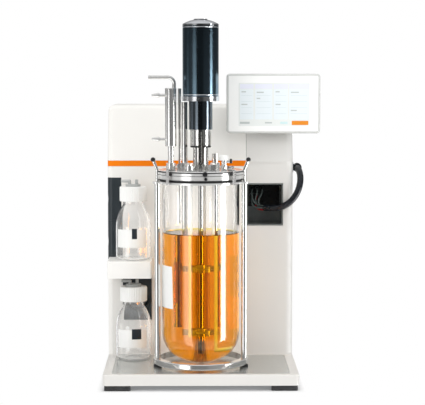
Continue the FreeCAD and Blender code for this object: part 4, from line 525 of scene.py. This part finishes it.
def placed(origin, facing, a, b, c):
    """A point a along, b across and c out from an origin that faces a way."""
    along, across, out_of = (Vector(v) for v in FACING[facing])
    spot = Vector(origin) + a * along + b * across + c * out_of
    return at(*spot)


def skinned(rows, sides, flipped=False):
    """The faces between rings of vertex numbers, where a ring of one vertex is a tip."""
    faces = []
    for low, high in zip(rows, rows[1:]):
        for k in range(sides):
            ring = (low[k % len(low)], low[(k + 1) % len(low)])
            ring += (high[(k + 1) % len(high)], high[k % len(high)])
            face = tuple(dict.fromkeys(ring))
            if len(face) > 2:
                faces.append(face[::-1] if flipped else face)
    return faces


def turned_mesh(outline, sides, origin, facing, span=(0, 360)):
    """Vertices and faces of an outline of (radius, height) points turned about the way that is faced."""
    verts, rows = [], []
    around = sides if span[1] - span[0] == 360 else sides + 1
    for radius, height in outline:
        count = around if radius else 1
        rows.append([len(verts) + k for k in range(count)])
        for k in range(count):
            angle = math.radians(span[0] + (span[1] - span[0]) * k / sides)
            a, b = radius * math.cos(angle), radius * math.sin(angle)
            verts.append(placed(origin, facing, a, b, height))
    return verts, skinned(rows, sides)


def lathe(
    name, outline, material, body, origin=(*AXIS, 0), facing="Z", sides=96, sharp=35, span=(0, 360)
):
    """A turned piece, about the vessel's axis where nothing else is said."""
    return shape(name, *turned_mesh(outline, sides, origin, facing, span), material, body, sharp)


def bow(start, end, radius, steps=8):
    """The points of an arc after its start: a positive radius swells to the right of the way along it."""
    (x0, y0), (x1, y1) = start, end
    half = math.hypot(x1 - x0, y1 - y0) / 2
    lift = math.sqrt(max(0, radius**2 - half**2)) * (1 if radius > 0 else -1)
    ux, uy = (x1 - x0) / (2 * half), (y1 - y0) / (2 * half)
    cx, cy = (x0 + x1) / 2 - uy * lift, (y0 + y1) / 2 + ux * lift
    a0, a1 = math.atan2(y0 - cy, x0 - cx), math.atan2(y1 - cy, x1 - cx)
    sweep = (a1 - a0 + math.pi) % (2 * math.pi) - math.pi
    size = abs(radius)
    return [
        (cx + size * math.cos(a0 + sweep * k / steps), cy + size * math.sin(a0 + sweep * k / steps))
        for k in range(1, steps + 1)
    ]


def merged(name, groups, material, body, sharp=35):
    """One piece from several (vertices, faces) groups."""
    verts, faces = [], []
    for group_verts, group_faces in groups:
        faces += [tuple(k + len(verts) for k in face) for face in group_faces]
        verts += group_verts
    return shape(name, verts, faces, material, body, sharp)


def tile(xs, zs, y, back, corner, steps=5):
    """A thin tile that faces the front, with rounded corners: its vertices and faces."""
    (x0, x1), (z0, z1) = xs, zs
    rim = []
    for cx, cz, start in ((x1, z0, -90), (x1, z1, 0), (x0, z1, 90), (x0, z0, 180)):
        inset_x, inset_z = (-corner if cx == x1 else corner), (-corner if cz == z1 else corner)
        for k in range(steps + 1 if corner else 1):
            angle = math.radians(start + 90 * k / steps)
            swell = (math.cos(angle), math.sin(angle)) if corner else (0, 0)
            rim.append((cx + inset_x + corner * swell[0], cz + inset_z + corner * swell[1]))
    count = len(rim)
    verts = [at(x, y, z) for x, z in rim] + [at(x, back, z) for x, z in rim]
    faces = [tuple(range(count)), tuple(range(2 * count - 1, count - 1, -1))]
    faces += [(k, k + count, (k + 1) % count + count, (k + 1) % count) for k in range(count)]
    return verts, faces


def wrapped(radius, thick, rows, origin, steps=40):
    """A film wrapped round an upright cylinder, from rows of (height, first angle, last angle)."""
    verts, faces = [], []
    for far in (radius + thick, radius):
        for height, first, last in rows:
            for k in range(steps + 1):
                angle = math.radians(first + (last - first) * k / steps)
                x, y = origin[0] + far * math.cos(angle), origin[1] + far * math.sin(angle)
                verts.append(at(x, y, origin[2] + height))
    wide, tall = steps + 1, len(rows)
    skin = wide * tall
    for row in range(tall - 1):
        for k in range(steps):
            a = row * wide + k
            faces.append((a, a + 1, a + 1 + wide, a + wide))
            faces.append((a + skin, a + wide + skin, a + 1 + wide + skin, a + 1 + skin))
    edge = list(range(wide)) + [row * wide + wide - 1 for row in range(1, tall)]
    edge += list(range(skin - 2, skin - wide - 1, -1)) + [row * wide for row in range(tall - 2, 0, -1)]
    for a, b in zip(edge, edge[1:] + edge[:1]):
        faces.append((a, a + skin, b + skin, b))
    return verts, faces


def band(angles, heights):
    """Rows for wrapped() with the same angles at each height."""
    return [(height, *angles) for height in heights]


def screw(origin, facing, radius, rise):
    """A domed screw with a six-sided socket, as two groups of vertices and faces."""
    brim, dome, mouth = (radius, rise * 0.35), (radius * 0.62, rise), (radius * 0.45, rise)
    head = [(radius, -0.2), brim, *bow(brim, dome, radius), mouth]
    well = [mouth, (radius * 0.43, 0.2), (0, 0.1)]
    return [turned_mesh(head, 24, origin, facing), turned_mesh(well, 6, origin, facing)]


# glass vessel and its culture

BORE, WALL = 71, 4.5
CROWN, KNUCKLE = 95, 48  # the dish's two radii, inside
DISH_LOW = 9.5
SIDES = 144  # enough for the large round pieces


def vessel_profile(offset, steps=14):
    """The dished bottom and the straight side's start, outside the bore by an offset."""
    crown, knuckle = CROWN + offset, KNUCKLE + offset
    apart, across = CROWN - KNUCKLE, BORE - KNUCKLE  # the arcs' centres: how far apart, and how far sideways
    drop = math.sqrt(apart**2 - across**2)
    centre = DISH_LOW + CROWN
    meet = (crown * across / apart, centre - crown * drop / apart)
    side = (BORE + offset, centre - drop)
    bottom = (0, DISH_LOW - offset)
    return [bottom, *bow(bottom, meet, crown, steps), *bow(meet, side, knuckle, steps)]


outside = BORE + WALL
walls = vessel_profile(WALL)
walls += [(outside, 120), (outside, 200), (outside, 290), (outside, 366.8)]
walls += bow((outside, 366.8), (76.7, 368), -1.2, 4) + [(78, 368)] + bow((78, 368), (78.5, 368.5), 0.5, 3)
walls += [(78.5, 373)] + bow((78.5, 373), (77.5, 374), 1, 4)
walls += [(71.6, 374)] + bow((71.6, 374), (BORE, 373.4), 0.6, 3) + [(BORE, 290), (BORE, 200), (BORE, 120)]
walls += vessel_profile(0)[::-1]
vessel = lathe("vessel_walls", walls, M["glass"], ROOT, sides=SIDES)
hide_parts("vessel_glass")
# the culture reaches a hair into the wall, so that no air shows between them, and climbs it at its edge
BROTH = 71.2
broth = vessel_profile(0.2) + [(BROTH, 120), (BROTH, 200), (BROTH, 262)]
broth += bow((BROTH, 262), (68.5, 260), -2.6, 5) + [(50, 259.8), (0, 259.8)]
culture = lathe("culture", broth, M["liquid"], ROOT, sides=SIDES, sharp=50)
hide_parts("culture_liquid")
culture.visible_shadow = False  # so that the light on the cover behind it isn't tinted

slanted = [(z, -218, -135 - (z - 117) / 40) for z in (117, 140, 170, 199)]
shape("vessel_label", *wrapped(outside + 0.1, 0.25, slanted, (*AXIS, 0)), M["label"], ROOT)

# reagent bottles, each with a label, a dark mark on it and a scale

UPPER, LOWER = 200, 0  # what each bottle stands on, over the tray
glass = [(0, 1.2), (20, 0.4), (27, 0)] + bow((27, 0), (35, 8), 8) + [(35, 40), (35, 64)]
glass += bow((35, 64), (21, 108), 78, 16) + bow((21, 108), (20, 112), -8, 4) + [(20, 136.6)]
glass += bow((20, 136.6), (18.9, 138), 1.2, 4) + bow((18.9, 138), (17.5, 137), 1.2, 4) + [(17.5, 112)]
glass += bow((17.5, 112), (18.4, 108), 8, 3) + bow((18.4, 108), (32.5, 64), -75.5, 16) + [(32.5, 8)]
glass += bow((32.5, 8), (27, 2.6), -5.5) + [(0, 3.2)]
ON_GLASS, FILM = 35.05, 0.2
MARKS = [(24, 0.9), (36, 0.7), (48, 0.7), (60, 0.9)]  # height, and width as a share of 18 degrees
for number, level, dark in ((1, UPPER, (-92.5, -76)), (2, LOWER, (-94, -63))):
    origin = (*BOTTLE, level)
    bottle = lathe(f"bottle_glass_{number}", glass, M["bottle"], ROOT, origin)
    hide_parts(f"bottle_{number}")
    film = wrapped(ON_GLASS, FILM, band((-148, -42), (26, 62)), origin)
    mark = wrapped(ON_GLASS + FILM, 0.15, band(dark, (43.5, 64)), origin)
    ticks = []
    for z, share in MARKS:
        ticks.append(wrapped(ON_GLASS, 0.12, band((-30, -30 + 18 * share), (z, z + 0.8)), origin, steps=8))
    shape(f"bottle_label_{number}", *film, M["label"], ROOT)
    shape(f"label_mark_{number}", *mark, M["ink"], ROOT)
    merged(f"bottle_scale_{number}", ticks, M["label"], ROOT)

# ribbed caps in place of the plain cap rings

CAP_LOW, CAP_HIGH, CEILING = 116.3, 145.5, 142
cap_outline = [
    (21.3, CAP_LOW), (26.3, CAP_LOW), (26.9, CAP_LOW + 0.9), (26.9, CAP_LOW + 3.2), (26.9, CAP_HIGH - 3),
    (26.5, CAP_HIGH - 1.2), (25.2, CAP_HIGH - 0.1), (23.6, CAP_HIGH + 0.25), (17.2, CAP_HIGH + 0.25),
    (16.1, CAP_HIGH - 0.7), (16.1, CEILING), (21.2, CEILING), (21.3, CAP_LOW),
]
GROOVED, GROOVE = (3, 4, 5), 0.75  # the outline's points that the grooves cut into, and how deep
STEPS = 48 * 4  # 48 ribs of four steps, two of them in the groove
for number, level, body in ((1, UPPER, "upper_cap"), (2, LOWER, "lower_cap")):
    verts, rows = [], []
    for place, (radius, height) in enumerate(cap_outline):
        rows.append(range(len(verts), len(verts) + STEPS))
        for k in range(STEPS):
            angle = 2 * math.pi * k / STEPS
            reach = radius - (GROOVE if place in GROOVED and k % 4 in (0, 1) else 0)
            x, y = BOTTLE[0] + reach * math.cos(angle), BOTTLE[1] + reach * math.sin(angle)
            verts.append(at(x, y, level + height))
    cap = shape(f"ribbed_cap_{number}", verts, skinned(rows, STEPS), M["cap"], body, 25)
    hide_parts(f"cap_ring_{number}")

# screen picture: tiles a hair in front of the glass

GLASS_X, GLASS_Y, GLASS_Z = 52, 190, 569  # the screen's top left corner, on its glass
LAYER, THICK = 0.12, 0.1  # from layer to layer, and through a tile


def tiles(name, spots, material, layer):
    """Tiles at (left, top, right, bottom, corner radius) from the screen's top left corner, on one layer."""
    front = GLASS_Y - LAYER * layer
    made = [
        tile((GLASS_X + left, GLASS_X + right), (GLASS_Z - low, GLASS_Z - top), front, front + THICK, corner)
        for left, top, right, low, corner in spots
    ]
    merged(name, made, material, "screen", 60)


for key, name, colour, vary in (
    ("page", "page_grey", (0.80, 0.83, 0.81), 0.01),
    ("pane", "pane_blue", (0.80, 0.86, 0.885), 0.012),
    ("head", "pane_head", (0.79, 0.81, 0.90), 0.012),
    ("rule", "pane_rule", (0.66, 0.74, 0.76), 0.02),
    ("bar", "grey_bar", (0.52, 0.56, 0.55), 0.03),
    ("sky", "blue_bar", (0.62, 0.79, 0.80), 0.03),
    ("button", "orange_button", (0.80, 0.27, 0.025), 0.03),
):
    M[key] = finish_of(name, colour, 0.2, 0, vary, 30, 0.03)
COLUMNS = ((26.5, 53.5), (57, 91), (94.5, 122), (125, 163.5))
RULES = (43, 55, 67, 79)
READINGS = (  # column, top, width
    (0, 35, 9), (1, 36, 14), (2, 35, 8), (3, 36, 16), (0, 60, 12), (1, 48, 7), (2, 60, 10), (3, 72, 12),
)
readings = []
for column, top, width in READINGS:
    start = COLUMNS[column][0] + 3
    readings.append((start, top, start + width, top + 2.2, 0.4))
tiles("screen_page", [(24, 18.5, 165.5, 104, 1.2)], M["page"], 1)
tiles("screen_panes", [(a, 31, b, 91, 1) for a, b in COLUMNS], M["pane"], 2)
tiles("screen_heads", [(a, 20.5, b, 30, 1) for a, b in COLUMNS], M["head"], 2)
tiles("screen_rules", [(a + 3, z, b - 3, z + 0.7, 0) for a, b in COLUMNS for z in RULES], M["rule"], 3)
tiles("screen_readings", readings, M["bar"], 3)
tiles("screen_bars", [(26.5, 95.6, 46, 99.8, 0.8), (76.5, 96.2, 90.5, 99, 0.8)], M["bar"], 2)
tiles("screen_link", [(107, 95.6, 121.5, 100.2, 0.8)], M["sky"], 2)
tiles("screen_button", [(130, 93.8, 163, 102.2, 1.4)], M["button"], 2)

# drive: a dark seal in the column's groove as painted shade, the motor's bands and the flange's screws

# the groove's dark seal runs only at the column's left and right: painted shade for the groove's shadow
groove = [(16.6, 426.2), (19.2, 426.2), *bow((19.2, 426.2), (19.2, 429.8), 2.1)]
groove += [(16.6, 429.8), (16.6, 426.2)]
for side, span in (("left", (108, 252)), ("right", (-72, 72))):
    lathe(f"groove_shade_seal_{side}", groove, M["seal"], ROOT, span=span, sides=48)
BAND = 34.9
for name, z in (("lower", 527.5), ("upper", 657.4)):
    lathe(f"motor_band_{name}", [(BAND, z), *bow((BAND, z), (BAND, z + 1.6), 1.0, 6)], M["silver"], ROOT)
CORNERS = (45, 135, 225, 315)  # where the flange's screws and the clamps are, round the axis
BOLT_CIRCLE = 18
heads = []
for corner in CORNERS:
    angle = math.radians(corner)
    spot = (AXIS[0] + BOLT_CIRCLE * math.cos(angle), AXIS[1] + BOLT_CIRCLE * math.sin(angle), 389)
    heads += screw(spot, "Z", 1.7, 1.4)
merged("flange_screws", heads, M["steel"], ROOT)

# head plate: dark knobs on both sides of each clamp as painted shade, dark bands at its rim and at the
# flange's foot as painted shadow lines, the latch at the front, and a white cap on the addition port

# dark knobs on both sides of each clamp: painted shade, standing in for the shadows beside the clamps
CLAMP_REACH, CLAMP_HALF, CLAMP_Z = 86.5, 4.1, 377.5
SHADE_KNOB, SHADE_KNOB_SIDES = [(2.1, 0), (2.5, 0.5), (2.5, 2.2), (1.9, 2.8), (0, 2.8)], 20
shade_knobs = []
for corner in CORNERS:
    out_x, out_y = math.cos(math.radians(corner)), math.sin(math.radians(corner))
    for side in (-1, 1):
        middle_x = AXIS[0] + CLAMP_REACH * out_x - side * CLAMP_HALF * out_y
        middle_y = AXIS[1] + CLAMP_REACH * out_y + side * CLAMP_HALF * out_x
        verts, rows = [], []
        for radius, height in SHADE_KNOB:
            count = SHADE_KNOB_SIDES if radius else 1
            rows.append(range(len(verts), len(verts) + count))
            for k in range(count):
                angle = 2 * math.pi * k / SHADE_KNOB_SIDES
                a, b = radius * math.cos(angle), radius * math.sin(angle)
                x = middle_x - side * height * out_y + a * out_x
                y = middle_y + side * height * out_x + a * out_y
                verts.append(at(x, y, CLAMP_Z + b))
        shade_knobs.append((verts, skinned(rows, SHADE_KNOB_SIDES, flipped=side > 0)))
merged("clamp_shade_knobs", shade_knobs, M["knob"], ROOT)
# dark rubber bands at the head plate's rim and at the flange ring's foot: painted shadow lines for the gaps
# there
lid_shadow_line = [(82.7, 379.2), (83.2, 379.5), (83.2, 381.7), (82.7, 381.9)]
flange_foot_shadow = [(79.7, 361.4), (80.1, 361.4), (82.6, 365.3), (82.1, 365.5)]
lathe("lid_shadow_line", lid_shadow_line, M["seal"], ROOT, sides=SIDES)
lathe("ring_foot_shadow_line", flange_foot_shadow, M["seal"], ROOT, sides=SIDES)
knob = [(0, 0), (4.6, 0), (5.0, 0.6), (5.0, 3.4)] + bow((5.0, 3.4), (3.4, 5.0), 1.8, 5) + [(0, 5.2)]
lathe("lid_latch", knob, M["knob"], ROOT, (8, 27.6, 378.6), "-Y", 32)
knob_foot = [(0, 0), (3, 0), (3, 2.6), (2.2, 3.4), (0, 3.4)]
lathe("lid_latch_foot", knob_foot, M["knob"], ROOT, (9.5, 27.6, 369.5), "-Y", 24)
stopper = [(5.2, 401.5), (8.4, 401.5)] + bow((8.4, 401.5), (9, 402.3), 0.9, 3) + [(9, 410.2)]
stopper += bow((9, 410.2), (7.4, 411.8), 1.6, 5) + [(0, 412.1)]
lathe("addition_cap", stopper, M["cap"], ROOT, (45, 96, 0), sides=48)
stub = [(3.6, -0.3), (4.4, 0.1), (4.4, 3.6), (4.0, 4.2), (2.7, 4.2), (2.7, 0)]
lathe("addition_seal", stub, M["seal"], ROOT, (56.4, 96, 400), "X", 32)

# cable bay: the socket panel at its back, the sensor cables' plugs, and rings on the bundle's gland

shape("socket_panel", *tile((97, 163), (297, 342), 281.6, 282.4, 2), M["panel"], ROOT)
SOCKETS = ((105.5, 334.5), (116.5, 334.5), (127.5, 334.5), (105.5, 320.2), (116.5, 320.2))
boot = [(2.0, -0.4), (3.7, 0), (3.7, 3.2), (3.2, 3.6), (3.2, 6.2), (2.5, 6.8), (2.5, 8.4), (1.9, 9)]
for number, (x, z) in enumerate(SOCKETS, 1):
    lathe(f"cable_plug_{number}", boot, M["seal"], ROOT, (x, 271.4, z), "-Y", 32)
rings = [[(8.4, y), (8.9, y + 0.4), (8.9, y + 1.4), (8.4, y + 1.8)] for y in (1.5, 5.5, 9.5)]
merged("gland_rings", [turned_mesh(ring, 48, (198, 258, 378), "Y") for ring in rings], M["seal"], ROOT)

# screws of the rear panel and of the fan

REAR = 420.2
heads = []
for x in (-176, -60, 176):
    for z in (14, 250, 486):
        heads += screw((x, REAR, z), "Y", 2.6, 1.5)
for x in (85, 135):
    for z in (375, 425):
        heads += screw((x, REAR, z), "Y", 2.2, 1.3)
merged("rear_screws", heads, M["steel"], ROOT)
